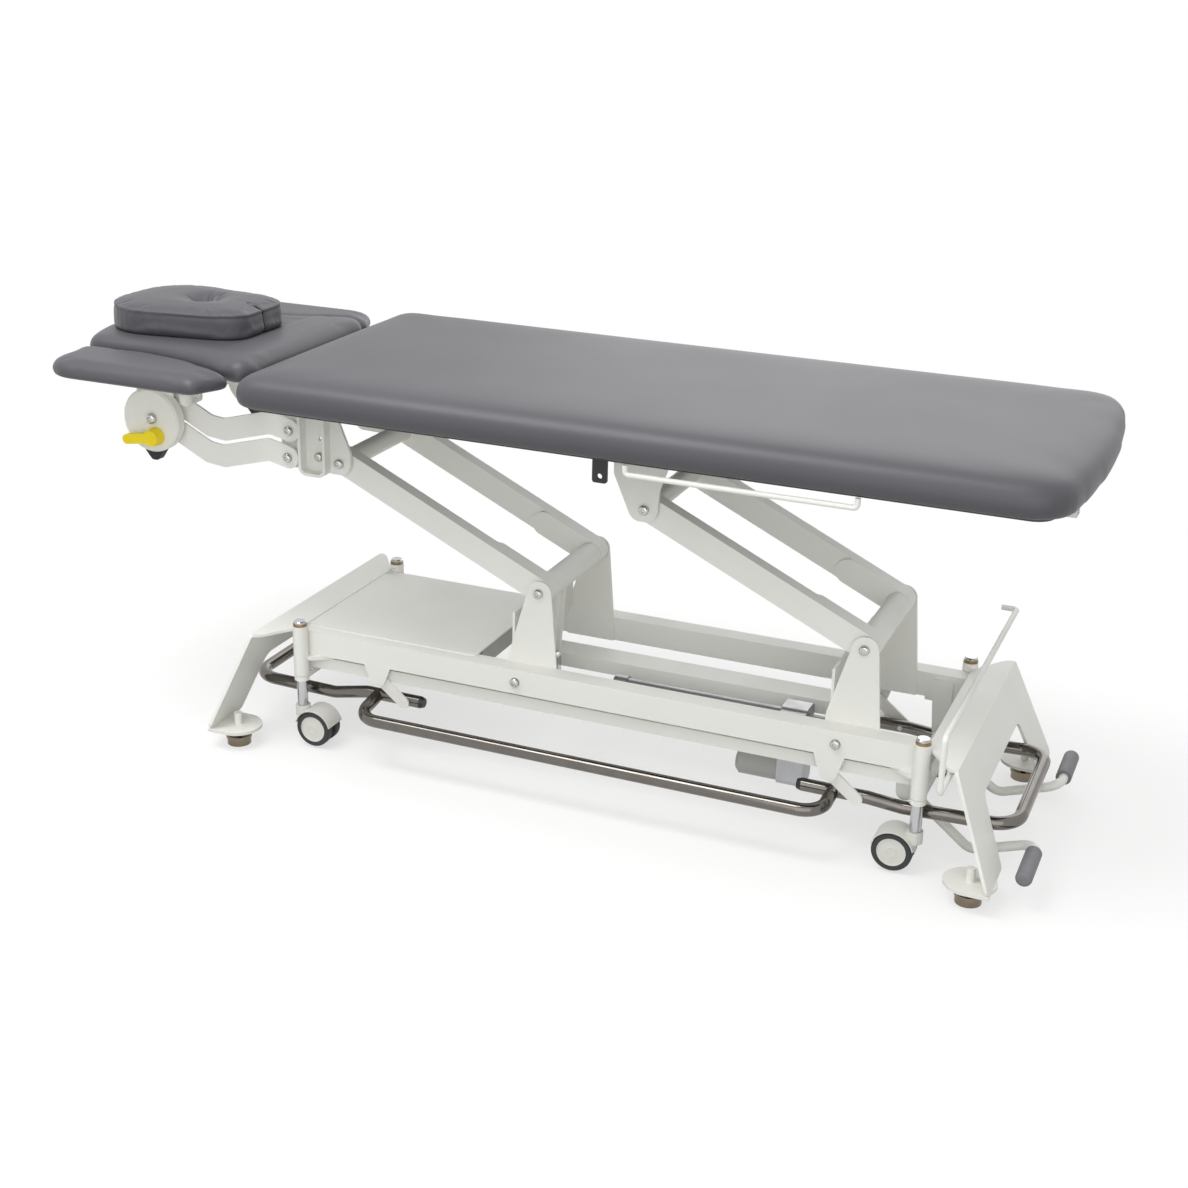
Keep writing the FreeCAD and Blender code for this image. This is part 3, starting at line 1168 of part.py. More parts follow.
def build_running_gear():
    """Write the casters, their lifting frame, the pedals and the control bar."""
    save("caster_stems", at_posts(caster_stem))
    save("caster_yoke", [caster_yoke()])
    for end, x in (("head", -POST_X), ("foot", POST_X)):
        for side, y in (("near", -POST_Y), ("far", POST_Y)):
            save("caster_hood_%s_%s" % (end, side), [caster_hood(x, y)])
            save("caster_wheel_%s_%s" % (end, side), [caster_wheel(x, y)])
    save("pedal_cranks", [pedal_cranks()])
    grip = pedal_grip()
    save("pedal_grips", [grip, far(grip)])
    save("foot_bar", [foot_bar()])
    save("foot_bar_plugs", bar_plugs())
    for end, x, z in (("head", BAR_HEAD_X, BAR_HEAD_Z), ("foot", BAR_FOOT_X, BAR_FOOT_Z)):
        link = foot_link(x, z)
        save("foot_links_%s" % end, [link, far(link)])


build_base()
build_lift()
build_face_section()
build_running_gear()
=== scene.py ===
"""Looks of an electric physiotherapy table: finishes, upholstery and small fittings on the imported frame."""

import logging
import math
from dataclasses import dataclass
from enum import Enum
from typing import Any, Dict, Iterator, Optional, Sequence, Tuple

import bmesh
import bpy
from mathutils import Matrix, Vector, noise


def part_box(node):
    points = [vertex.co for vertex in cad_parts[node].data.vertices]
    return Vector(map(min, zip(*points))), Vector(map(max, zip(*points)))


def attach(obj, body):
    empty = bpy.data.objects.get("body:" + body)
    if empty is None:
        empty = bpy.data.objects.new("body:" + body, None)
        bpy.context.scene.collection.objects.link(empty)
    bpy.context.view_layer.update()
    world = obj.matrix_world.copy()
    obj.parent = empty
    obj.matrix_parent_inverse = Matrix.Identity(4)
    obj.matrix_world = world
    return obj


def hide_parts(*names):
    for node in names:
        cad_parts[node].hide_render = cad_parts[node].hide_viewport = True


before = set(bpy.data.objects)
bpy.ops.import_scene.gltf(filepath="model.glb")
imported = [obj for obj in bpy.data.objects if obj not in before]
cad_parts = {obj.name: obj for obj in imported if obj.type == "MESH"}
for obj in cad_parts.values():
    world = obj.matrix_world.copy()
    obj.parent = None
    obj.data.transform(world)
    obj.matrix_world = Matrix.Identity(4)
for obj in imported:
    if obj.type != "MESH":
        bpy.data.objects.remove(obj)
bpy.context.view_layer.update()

MM = 0.001
WELD = 0.01 * MM
DRIFT_LOW = 0.3
DRIFT_HIGH = 0.7
NO_HEXAGON = 99
PHOTO_SIDE = 1188
LOG = logging.getLogger("table")


class Body(Enum):
    """Bodies of the frame that new pieces ride on."""

    BASE = "base"
    COUCH = "couch"
    FACE = "face_section"
    CARRIER = "head_carrier"
    REST_NEAR = "armrest_near"
    REST_FAR = "armrest_far"
    WHEEL_HEAD_NEAR = "wheel_head_near"
    WHEEL_HEAD_FAR = "wheel_head_far"
    WHEEL_FOOT_NEAR = "wheel_foot_near"
    WHEEL_FOOT_FAR = "wheel_foot_far"


def linear(hex_colour: str) -> Tuple[float, float, float, float]:
    """Turn an sRGB hex colour into linear values.

    Args:
        hex_colour: Colour such as "#6B666C".

    Returns:
        Linear red, green, blue and a full alpha.
    """
    parts = [int(hex_colour[i:i + 2], 16) / 255 for i in (1, 3, 5)]
    bent = [p / 12.92 if p <= 0.04045 else ((p + 0.055) / 1.055) ** 2.4 for p in parts]
    return bent[0], bent[1], bent[2], 1.0


def clamped(value: float) -> float:
    """Hold a share between none and all."""
    return max(0.0, min(1.0, value))


def per_metre(size_mm: float) -> float:
    """Pattern scale that gives features of a size in millimetres."""
    return 1000.0 / size_mm


def add(tree: bpy.types.NodeTree, kind: str, inputs: Optional[Dict[Any, Any]] = None,
        **settings: Any) -> bpy.types.Node:
    """Add one shader node with its settings and links.

    Args:
        tree: Node tree of the material.
        kind: Type name of the node.
        inputs: Values or sockets, by the name or number of the input.
        settings: Properties of the node.

    Returns:
        The new node.
    """
    node = tree.nodes.new(kind)
    for key, value in settings.items():
        setattr(node, key, value)
    for key, value in (inputs or {}).items():
        if isinstance(value, bpy.types.NodeSocket):
            tree.links.new(value, node.inputs[key])
        else:
            node.inputs[key].default_value = value
    return node


@dataclass(frozen=True)
class Finish:
    """A surface finish; its material is made once and shared by the pieces that wear it."""

    name: str
    colour: str
    second: str
    roughness: float
    ior: float = 1.5

    def material(self) -> bpy.types.Material:
        """Give the finish as a material.

        Returns:
            The material, made on first use.
        """
        known = bpy.data.materials.get(self.name)
        if known is not None:
            return known
        made = bpy.data.materials.new(self.name)
        made.use_nodes = True
        tree = made.node_tree
        tree.nodes.clear()
        coords = add(tree, "ShaderNodeTexCoord").outputs["Object"]
        shader = add(tree, "ShaderNodeBsdfPrincipled", self.surface(tree, coords))
        add(tree, "ShaderNodeOutputMaterial", {"Surface": shader.outputs["BSDF"]})
        made.diffuse_color = linear(self.colour)
        return made

    def surface(self, tree: bpy.types.NodeTree, coords: bpy.types.NodeSocket) -> Dict[str, Any]:
        """Give the shader's inputs for this finish.

        Args:
            tree: Node tree of the material.
            coords: Object coordinates in metres.

        Returns:
            Values and sockets for the principled shader, by input name.
        """
        raise NotImplementedError

    def mottled(self, tree: bpy.types.NodeTree, coords: bpy.types.NodeSocket, size_mm: float,
                spread: float) -> Dict[str, Any]:
        """Give a base colour and roughness that drift softly over the surface.

        Args:
            tree: Node tree of the material.
            coords: Object coordinates in metres.
            size_mm: Size of the drifting patches.
            spread: How far the roughness leaves its middle value.

        Returns:
            The colour and roughness inputs of the shader.
        """
        drift = add(tree, "ShaderNodeTexNoise", {"Vector": coords, "Scale": per_metre(size_mm), "Detail": 4.0})
        shade = add(tree, "ShaderNodeMix", {0: drift.outputs["Fac"], 6: linear(self.colour),
                                            7: linear(self.second)}, data_type="RGBA")
        rough = add(tree, "ShaderNodeMapRange", {"Value": drift.outputs["Fac"],
                                                 "From Min": DRIFT_LOW, "From Max": DRIFT_HIGH,
                                                 "To Min": self.roughness - spread,
                                                 "To Max": self.roughness + spread})
        return {"Base Color": shade.outputs[2], "Roughness": rough.outputs["Result"], "IOR": self.ior}


@dataclass(frozen=True)
class PowderCoat(Finish):
    """Powder coat baked on steel: an even satin skin with a faint orange peel and a little floor dust."""

    drift_mm: float = 140.0
    spread: float = 0.05
    peel_mm: float = 3.0
    peel_strength: float = 0.10
    peel_depth: float = 0.3 * MM
    dust: str = "#BDB8AC"
    dust_top: float = 90 * MM
    dust_share: float = 0.45
    speck_mm: float = 14.0

    def surface(self, tree: bpy.types.NodeTree, coords: bpy.types.NodeSocket) -> Dict[str, Any]:
        """Give the shader's inputs: baked colour, dust that thins with height, and the peel.

        Args:
            tree: Node tree of the material.
            coords: Object coordinates in metres.

        Returns:
            Values and sockets for the principled shader, by input name.
        """
        inputs = self.mottled(tree, coords, self.drift_mm, self.spread)
        height = add(tree, "ShaderNodeSeparateXYZ", {"Vector": coords}).outputs["Z"]
        low = add(tree, "ShaderNodeMapRange", {"Value": height, "From Min": self.dust_top, "From Max": 0.0,
                                               "To Min": 0.0, "To Max": self.dust_share})
        specks = add(tree, "ShaderNodeTexNoise", {"Vector": coords, "Scale": per_metre(self.speck_mm),
                                                  "Detail": 6.0})
        settled = add(tree, "ShaderNodeMath", {0: low.outputs["Result"], 1: specks.outputs["Fac"]},
                      operation="MULTIPLY")
        dusted = add(tree, "ShaderNodeMix", {0: settled.outputs[0], 6: inputs["Base Color"],
                                             7: linear(self.dust)}, data_type="RGBA")
        # The true peel is about 1 mm across; it is drawn coarser so that it shows.
        peel = add(tree, "ShaderNodeTexNoise", {"Vector": coords, "Scale": per_metre(self.peel_mm), "Detail": 2.0})
        bump = add(tree, "ShaderNodeBump", {"Height": peel.outputs["Fac"], "Strength": self.peel_strength,
                                            "Distance": self.peel_depth})
        inputs["Base Color"] = dusted.outputs[2]
        inputs["Normal"] = bump.outputs["Normal"]
        return inputs


@dataclass(frozen=True)
class Leatherette(Finish):
    """PVC leatherette, embossed with a fine pebble grain: satin, with a soft sheen at grazing angles."""

    drift_mm: float = 260.0
    spread: float = 0.015
    pebble_mm: float = 3.4
    pebble_strength: float = 0.16
    pebble_depth: float = 0.5 * MM
    pore_mm: float = 1.4
    pore_strength: float = 0.10
    pore_depth: float = 0.2 * MM
    sheen: float = 0.04
    sheen_roughness: float = 0.4

    def surface(self, tree: bpy.types.NodeTree, coords: bpy.types.NodeSocket) -> Dict[str, Any]:
        """Give the shader's inputs: soft tone drift, pebble grain and pores.

        Args:
            tree: Node tree of the material.
            coords: Object coordinates in metres.

        Returns:
            Values and sockets for the principled shader, by input name.
        """
        inputs = self.mottled(tree, coords, self.drift_mm, self.spread)
        # The embossed pebbles are about 1 mm across; they are drawn coarser so that they show.
        pebbles = add(tree, "ShaderNodeTexVoronoi", {"Vector": coords, "Scale": per_metre(self.pebble_mm)},
                      feature="SMOOTH_F1")
        pores = add(tree, "ShaderNodeTexNoise", {"Vector": coords, "Scale": per_metre(self.pore_mm), "Detail": 3.0})
        coarse = add(tree, "ShaderNodeBump", {"Height": pebbles.outputs["Distance"],
                                              "Strength": self.pebble_strength, "Distance": self.pebble_depth})
        fine = add(tree, "ShaderNodeBump", {"Height": pores.outputs["Fac"], "Strength": self.pore_strength,
                                            "Distance": self.pore_depth, "Normal": coarse.outputs["Normal"]})
        inputs.update({"Normal": fine.outputs["Normal"], "Sheen Weight": self.sheen,
                       "Sheen Roughness": self.sheen_roughness})
        return inputs


@dataclass(frozen=True)
class DrawnMetal(Finish):
    """Drawn, turned or plated metal: mirror-like with fine handling scratches."""

    drift_mm: float = 30.0
    spread: float = 0.05
    scratch_mm: float = 1.2
    scratch_strength: float = 0.05
    scratch_depth: float = 0.1 * MM
    scratch_bend: float = 2.0

    def surface(self, tree: bpy.types.NodeTree, coords: bpy.types.NodeSocket) -> Dict[str, Any]:
        """Give the shader's inputs: a metal's colour with scratch marks in its gloss.

        Args:
            tree: Node tree of the material.
            coords: Object coordinates in metres.

        Returns:
            Values and sockets for the principled shader, by input name.
        """
        inputs = self.mottled(tree, coords, self.drift_mm, self.spread)
        inputs.pop("IOR")
        # Handling scratches are hair-fine; they are drawn wider so that they show.
        lines = add(tree, "ShaderNodeTexNoise", {"Vector": coords, "Scale": per_metre(self.scratch_mm),
                                                 "Detail": 5.0, "Distortion": self.scratch_bend})
        bump = add(tree, "ShaderNodeBump", {"Height": lines.outputs["Fac"], "Strength": self.scratch_strength,
                                            "Distance": self.scratch_depth})
        inputs.update({"Metallic": 1.0, "Normal": bump.outputs["Normal"]})
        return inputs


@dataclass(frozen=True)
class Moulded(Finish):
    """Moulded plastic or rubber: even colour with the fine sparked texture of its mould."""

    drift_mm: float = 40.0
    spread: float = 0.04
    grit_mm: float = 1.0
    grit_strength: float = 0.12
    grit_depth: float = 0.2 * MM

    def surface(self, tree: bpy.types.NodeTree, coords: bpy.types.NodeSocket) -> Dict[str, Any]:
        """Give the shader's inputs: moulded colour, soft gloss drift and the mould's texture.

        Args:
            tree: Node tree of the material.
            coords: Object coordinates in metres.

        Returns:
            Values and sockets for the principled shader, by input name.
        """
        inputs = self.mottled(tree, coords, self.drift_mm, self.spread)
        # The mould's spark texture is a few tenths wide; it is drawn coarser so that it shows.
        grit = add(tree, "ShaderNodeTexNoise", {"Vector": coords, "Scale": per_metre(self.grit_mm), "Detail": 3.0})
        bump = add(tree, "ShaderNodeBump", {"Height": grit.outputs["Fac"], "Strength": self.grit_strength,
                                            "Distance": self.grit_depth})
        inputs["Normal"] = bump.outputs["Normal"]
        return inputs


# Warm off-white, satin and even; a little grey dust near the floor.
PAINT = PowderCoat("powder_coated_steel", "#F1F1EC", "#EBEBE5", 0.48)
# Dark warm grey with a fine pebble grain; broad soft lights on the rolled edges.
LEATHERETTE = Leatherette("pvc_leatherette", "#4D4C51", "#47464B", 0.47)
# Bent bar, polished: dark mirror with long bright lines.
STAINLESS = DrawnMetal("polished_stainless_steel", "#7B7773", "#696561", 0.15)
# Plated bolt heads: pale and bluish, softly bright.
ZINC = DrawnMetal("zinc_plated_steel", "#C9C9C6", "#B4B4B0", 0.22)
# Plated caps, stems and rod: hard bright mirror.
CHROME = DrawnMetal("chromed_steel", "#C6C7C9", "#B6B7B9", 0.10, spread=0.03)
# Pressed and sintered bushes: dull brown metal.
BRONZE = DrawnMetal("sintered_bronze", "#A58C66", "#8C7452", 0.32)
# Plated feet, tinted by handling: brownish, half bright.
NICKEL = DrawnMetal("nickel_plated_steel", "#8F8474", "#786E60", 0.24)
# Cast gear case and tube: grey and matt.
ALLOY = DrawnMetal("cast_aluminium", "#B9BABB", "#A5A6A8", 0.42)
# Near black with a fine matt grain.
BLACK_ABS = Moulded("moulded_abs_black", "#232325", "#1C1C1E", 0.42)
# Light neutral grey with a fine matt grain.
GREY_ABS = Moulded("moulded_abs_grey", "#BDBDB9", "#B2B2AE", 0.45)
# Milky white, slightly darker than the paint.
WHITE_PA = Moulded("moulded_polyamide_white", "#E0E0DA", "#D7D7D0", 0.42)
# Clear signal yellow with a soft gloss.
YELLOW_PA = Moulded("moulded_polyamide_yellow", "#FBE400", "#F2D800", 0.36)
# Dark grey, matt.
TYRE = Moulded("moulded_tyre_rubber", "#343637", "#2B2D2E", 0.62, grit_strength=0.2)
# Black, matt.
BLACK_RUBBER = Moulded("moulded_black_rubber", "#1E1E1F", "#171718", 0.66, grit_strength=0.2)
# Middle grey, matt.
GREY_RUBBER = Moulded("moulded_grey_rubber", "#7D7D80", "#727275", 0.58, grit_strength=0.2)
# Near-black matt sheet in the pillow's slit: painted shadow of the narrow gap, not a part of the cover.
SLIT_SHADOW = Moulded("painted_slit_shadow", "#17171A", "#121214", 0.8, grit_mm=0.6, grit_strength=0.2)
# Dark grey board edge, half matt.
LAMINATE = Moulded("compact_laminate", "#3A383C", "#333135", 0.5, grit_mm=0.8, grit_strength=0.08)


def wear(names: Sequence[str], finish: Finish) -> None:
    """Give CAD nodes a finish through their material slots.

    Args:
        names: Node names.
        finish: Finish that they wear.
    """
    for name in names:
        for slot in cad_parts[name].material_slots:
            slot.material = finish.material()
        LOG.info("%s wears %s", name, finish.name)


def settle(piece: bpy.types.Object, body: Body, finish: Finish) -> None:
    """Finish a new piece: material, slot and the body it rides on.

    Args:
        piece: Object already in place.
        body: Body that it moves with.
        finish: Finish that it wears.
    """
    piece.data.materials.clear()
    piece.data.materials.append(finish.material())
    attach(piece, body.value)
    LOG.info("%s rides on %s", piece.name, body.value)


def new_piece(name: str, shape: bmesh.types.BMesh, smooth: bool = True) -> bpy.types.Object:
    """Turn a bmesh into an object of the scene.

    Args:
        name: Name of the piece.
        shape: Finished bmesh; it is freed here.
        smooth: Whether its faces are shaded smooth.

    Returns:
        The new object.
    """
    mesh = bpy.data.meshes.new(name)
    for face in shape.faces:
        face.smooth = smooth
    shape.to_mesh(mesh)
    shape.free()
    piece = bpy.data.objects.new(name, mesh)
    bpy.context.scene.collection.objects.link(piece)
    return piece


@dataclass
class Cushion:
    """A foam pad in a stretched leatherette cover, blown up from its CAD solid by a cloth run."""

    node: str
    body: Body
    fill: float
    voxel: float = 6 * MM
    smoothing: int = 10
    pressure: float = 4.0
    swell: float = 3 * MM
    seat_depth: float = 5 * MM
    frames: int = 20
    eased: int = 1
    cloth_quality: int = 4
    cloth_mass: float = 0.15

    def build(self) -> None:
        """Model, blow up, shape and dress the cushion, which then stands for its CAD solid."""
        piece = self.remeshed()
        self.soften(piece, self.smoothing)
        self.blow_up(piece)
        self.soften(piece, self.eased)
        self.shape(piece)
        for face in piece.data.polygons:
            face.use_smooth = True
        settle(piece, self.body, LEATHERETTE)
        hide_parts(self.node)

    def remeshed(self) -> bpy.types.Object:
        """Copy the CAD solid into a new object of even small faces.

        Returns:
            The new object.
        """
        shell = bmesh.new()
        shell.from_mesh(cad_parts[self.node].data)
        bmesh.ops.remove_doubles(shell, verts=shell.verts, dist=WELD)
        piece = new_piece(self.node + "_cover", shell)
        grid = piece.modifiers.new("grid", "REMESH")
        grid.mode = "VOXEL"
        grid.voxel_size = self.voxel
        graph = bpy.context.evaluated_depsgraph_get()
        even = bpy.data.meshes.new_from_object(piece.evaluated_get(graph))
        piece.modifiers.clear()
        piece.data = even
        return piece

    def soften(self, piece: bpy.types.Object, passes: int) -> None:
        """Smooth the steps that the remesh or the cloth run leaves.

        Args:
            piece: Object to smooth.
            passes: How many times the vertices move halfway to their neighbours.
        """
        soft = bmesh.new()
        soft.from_mesh(piece.data)
        for _ in range(passes):
            bmesh.ops.smooth_vert(soft, verts=soft.verts, factor=0.5, use_axis_x=True, use_axis_y=True,
                                  use_axis_z=True)
        soft.to_mesh(piece.data)
        soft.free()

    def held(self, point: Vector, low: Vector, high: Vector) -> bool:
        """Whether a point of the cover is held by what the cushion rests on."""
        return point.z < low.z + self.seat_depth

    def blow_up(self, piece: bpy.types.Object) -> None:
        """Run the cloth under pressure and keep its result, capped.

        Args:
            piece: Object whose mesh is moved.
        """
        start = [v.co.copy() for v in piece.data.vertices]
        low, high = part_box(self.node)
        pins = piece.vertex_groups.new(name="held")
        pins.add([i for i, p in enumerate(start) if self.held(p, low, high)], 1.0, "REPLACE")
        cloth = piece.modifiers.new("cover", "CLOTH")
        cloth.settings.quality = self.cloth_quality
        cloth.settings.mass = self.cloth_mass
        cloth.settings.use_pressure = True
        cloth.settings.uniform_pressure_force = self.pressure
        cloth.settings.vertex_group_mass = pins.name
        cloth.settings.effector_weights.gravity = 0.0
        cloth.point_cache.frame_end = self.frames
        scene = bpy.context.scene
        for number in range(1, self.frames + 1):
            scene.frame_set(number)
        graph = bpy.context.evaluated_depsgraph_get()
        blown = piece.evaluated_get(graph).to_mesh()
        moved = [v.co - p for v, p in zip(blown.vertices, start)]
        piece.evaluated_get(graph).to_mesh_clear()
        piece.modifiers.clear()
        piece.vertex_groups.clear()
        for vertex, point, step in zip(piece.data.vertices, start, moved):
            vertex.co = point + step * min(1.0, self.swell / max(step.length, 1e-9))
        scene.frame_set(1)

    def shape(self, piece: bpy.types.Object) -> None:
        """Add the seams and creases of this cushion; a plain cushion has none."""


@dataclass
class FacePad(Cushion):
    """The face pad, which carries the pillow on its middle."""

    def held(self, point: Vector, low: Vector, high: Vector) -> bool:
        """Tell whether the tray below or the pillow above holds a point of the cover.

        Args:
            point: Point of the cover.
            low: Low corner of the cushion's box.
            high: High corner of the cushion's box; not used.

        Returns:
            True where the point is held.
        """
        under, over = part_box("face_pillow")
        covered = under.x < point.x < over.x and under.y < point.y < over.y
        return covered or point.z < low.z + self.seat_depth


@dataclass
class FacePillow(Cushion):
    """The thick egg-shaped face pillow with a deep tuft in its middle and a slit towards the body."""

    rise: float = 1.2
    taper: float = 0.30
    full_width: float = 67 * MM
    tuft_depth: float = 25 * MM
    tuft_radius: float = 30 * MM
    tuft_shift: float = 26 * MM
    shift_reach: float = 75 * MM
    creases: Tuple[Tuple[float, float], ...] = (
        (104.0, 84 * MM),
        (72.0, 70 * MM),
        (184.0, 56 * MM),
        (338.0, 42 * MM),
    )
    crease_depth: float = 6 * MM
    crease_width: float = 4 * MM
    lip_half: float = 5 * MM
    lip_depth: float = 3 * MM
    pucker: float = 1.8 * MM
    pucker_pitch: float = 17 * MM
    pucker_from: float = 80 * MM
    pucker_rise: float = 20 * MM
    least_slack: float = 0.25
    slack_reach: float = 90 * MM
    slit_from: float = 90 * MM
    slit_band: float = 3 * MM
    # Size and steps of the near-black sheet that paints the slit's shadow.
    shadow_half: float = 0.9 * MM
    shadow_deep: float = 8 * MM
    shadow_proud: float = 0.5 * MM
    shadow_step: float = 4 * MM
    noise_row: float = 3.7
    noise_stretch: float = 0.3
    seam_fill: float = 4 * MM
    seam_lean: float = 0.7
    seam_spread: float = 0.3
    top_lean: float = 0.3
    least_wall: float = 0.1
    front_lean: float = 0.2
    fine_lean: float = 0.5

    def shape(self, piece: bpy.types.Object) -> None:
        """Draw the plan in towards the body, pinch the tuft, open the slit and pucker the wall.

        Args:
            piece: Blown-up cover.
        """
        low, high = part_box(self.node)
        middle = (low + high) / 2
        self.refine(piece)
        for vertex in piece.data.vertices:
            point = vertex.co
            share = (point.x - low.x - self.full_width) / (high.x - low.x - self.full_width)
            point.y *= 1 - self.taper * clamped(share)
            point.z = low.z + (point.z - low.z) * self.rise
            out = Vector((point.x - middle.x, point.y - middle.y))
            point.x += self.tuft_shift * math.exp(-(out.length / self.shift_reach) ** 2)
        piece.data.update()
        middle.x += self.tuft_shift
        normals = [v.normal.copy() for v in piece.data.vertices]
        for vertex, normal in zip(piece.data.vertices, normals):
            point = vertex.co
            out = Vector((point.x - middle.x, point.y - middle.y))
            if normal.z > self.top_lean:
                point.z -= self.tuft(out) + self.folds(out)
            if out.length > self.pucker_from and point.z > middle.z:
                lean = max(0.0, 1 - abs(normal.z - self.seam_lean) / self.seam_spread)
                point += normal * (self.seam_fill * lean)
            wall = max(0.0, 1 - abs(normal.z)) * clamped((point.z - low.z) / self.pucker_rise)
            if wall > self.least_wall and out.length > self.pucker_from:
                along = math.atan2(out.y, out.x) * out.length / self.pucker_pitch
                upright = self.noise_stretch * point.z / self.pucker_pitch
                fold = noise.noise(Vector((along, upright, self.noise_row)))
                back = clamped((middle.x - point.x) / self.slack_reach)
                slack = self.least_slack + (1 - self.least_slack) * back
                point += normal * (self.pucker * fold * wall * slack)
            if normal.x > self.front_lean and point.x > middle.x + self.slit_from:
                point -= normal * (self.lip_depth * math.exp(-(point.y / self.lip_half) ** 2))
        # Painted shadow: a near-black sheet goes into the slit.
        self.paint_slit_shadow(piece, middle.x)

    def refine(self, piece: bpy.types.Object) -> None:
        """Halve the faces on top, so that they can carry the folds.

        Args:
            piece: Blown-up cover.
        """
        fine = bmesh.new()
        fine.from_mesh(piece.data)
        fine.normal_update()
        above = {edge for face in fine.faces if face.normal.z > self.fine_lean for edge in face.edges}
        edges = [edge for edge in fine.edges if edge in above]
        bmesh.ops.subdivide_edges(fine, edges=edges, cuts=1, use_grid_fill=True)
        fine.to_mesh(piece.data)
        fine.free()

    def paint_slit_shadow(self, piece: bpy.types.Object, middle_x: float) -> None:
        """Put a near-black sheet into the slit, just proud of the bottom of its lips: painted shadow of the gap.

        Args:
            piece: Shaped cover.
            middle_x: Middle of the pillow along X.
        """
        edge: Dict[int, float] = {}
        for vertex in piece.data.vertices:
            if abs(vertex.co.y) < self.slit_band and vertex.co.x > middle_x + self.slit_from:
                level = round(vertex.co.z / self.shadow_step)
                edge[level] = max(edge.get(level, vertex.co.x), vertex.co.x)
        levels = sorted(edge)[1:-2]
        shell = bmesh.new()
        rows = []
        for side in (-self.shadow_half, self.shadow_half):
            front = [shell.verts.new((edge[k] + self.shadow_proud, side, k * self.shadow_step)) for k in levels]
            back = [shell.verts.new((edge[k] - self.shadow_deep, side, k * self.shadow_step)) for k in levels]
            rows.append(front + back[::-1])
        shell.faces.new(rows[0])
        shell.faces.new(rows[1][::-1])
        for i in range(len(rows[0])):
            after = (i + 1) % len(rows[0])
            shell.faces.new((rows[0][after], rows[0][i], rows[1][i], rows[1][after]))
        bmesh.ops.recalc_face_normals(shell, faces=shell.faces)
        # The sheet is painted shadow, set where the slit only has shade.
        settle(new_piece("pillow_slit_painted_shadow", shell, smooth=False), self.body, SLIT_SHADOW)

    def tuft(self, out: Vector) -> float:
        """Give the depth of the button's dimple at a place seen from the middle."""
        return self.tuft_depth * math.exp(-(out.length / self.tuft_radius) ** 2)

    def folds(self, out: Vector) -> float:
        """Give the depth of the short folds that run from the button.

        Args:
            out: Place seen from the button, in plan.

        Returns:
            Depth below the smooth top.
        """
        depth = 0.0
        for degrees, reach in self.creases:
            ray = Vector((math.cos(math.radians(degrees)), math.sin(math.radians(degrees))))
            ahead = out.dot(ray)
            aside = out.x * ray.y - out.y * ray.x
            if ahead > 0:
                fade = max(0.0, 1 - ahead / reach)
                depth += self.crease_depth * fade * math.exp(-(aside / self.crease_width) ** 2)
        return depth


@dataclass
class Upholstery:
    """All five cushions of the table."""

    def build(self) -> None:
        """Build and dress the cushions."""
        Cushion("couch_cushion", Body.COUCH, fill=0.9, voxel=10 * MM, smoothing=10, swell=2 * MM,
                eased=8).build()
        FacePad("head_pad", Body.FACE, fill=0.85, voxel=6 * MM, smoothing=12, swell=3 * MM).build()
        FacePillow("face_pillow", Body.FACE, fill=0.7, voxel=4 * MM, smoothing=5, swell=2 * MM).build()
        Cushion("armrest_near", Body.REST_NEAR, fill=0.85, voxel=5 * MM, smoothing=10, swell=2 * MM).build()
        Cushion("armrest_far", Body.REST_FAR, fill=0.85, voxel=5 * MM, smoothing=10, swell=2 * MM).build()


@dataclass
class PaintedFrame:
    """The welded and folded steel parts under their powder coat."""

    nodes: Tuple[str, ...] = (
        "rail_near", "rail_far", "end_frame_head", "end_frame_foot", "guide_posts", "column_head", "column_foot",
        "tie_beam", "cover_plate", "paper_rod", "front_arm", "rear_arm", "upper_frame", "head_brackets",
        "rear_brackets", "rod_rail", "head_link_lower", "head_link_upper", "head_carrier", "tilt_discs",
        "head_frame", "armrest_mount_near", "armrest_mount_far", "caster_yoke", "pedal_cranks", "foot_links_head",
        "foot_links_foot")

    def dress(self) -> None:
        """Give the frame its paint."""
        wear(self.nodes, PAINT)


@dataclass
class Fittings:
    """Metal, plastic and rubber parts that keep their CAD shape."""

    def dress(self) -> None:
        """Give each fitting its finish."""
        wear(("foot_bar",), STAINLESS)
        wear(("lower_pivot_pins", "column_bolts", "upper_pivot_pins", "head_bracket_bolts", "tilt_bolts"), ZINC)
        wear(("post_caps", "caster_stems"), CHROME)
        wear(("post_bushes",), BRONZE)
        wear(("levelling_feet",), NICKEL)
        wear(("actuator_rod",), CHROME)
        wear(("actuator_body",), ALLOY)
        wear(("foot_bar_plugs", "hook_plate"), BLACK_ABS)
        wear(("control_box", "actuator_motor"), GREY_ABS)
        wear(("clamp_lever",), YELLOW_PA)
        wear(("disc_bumpers",), BLACK_RUBBER)
        wear(("pedal_grips",), GREY_RUBBER)
        wear(("couch_board",), LAMINATE)
        hoods = [f"caster_hood_{end}_{side}" for end in ("head", "foot") for side in ("near", "far")]
        wear(hoods, WHITE_PA)


def solids(node: str) -> Iterator[Tuple[Vector, Vector]]:
    """Give the box of each separate solid of a CAD node.

    Args:
        node: Node name.

    Returns:
        Low and high corner of each solid, in the mesh's own order.
    """
    shell = bmesh.new()
    shell.from_mesh(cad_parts[node].data)
    bmesh.ops.remove_doubles(shell, verts=shell.verts, dist=WELD)
    for vert in shell.verts:
        vert.tag = False
    for first in shell.verts:
        if first.tag:
            continue
        first.tag = True
        found, waiting = [], [first]
        while waiting:
            here = waiting.pop()
            found.append(here.co.copy())
            for edge in here.link_edges:
                other = edge.other_vert(here)
                if not other.tag:
                    other.tag = True
                    waiting.append(other)
        yield (Vector([min(p[i] for p in found) for i in range(3)]),
               Vector([max(p[i] for p in found) for i in range(3)]))
    shell.free()


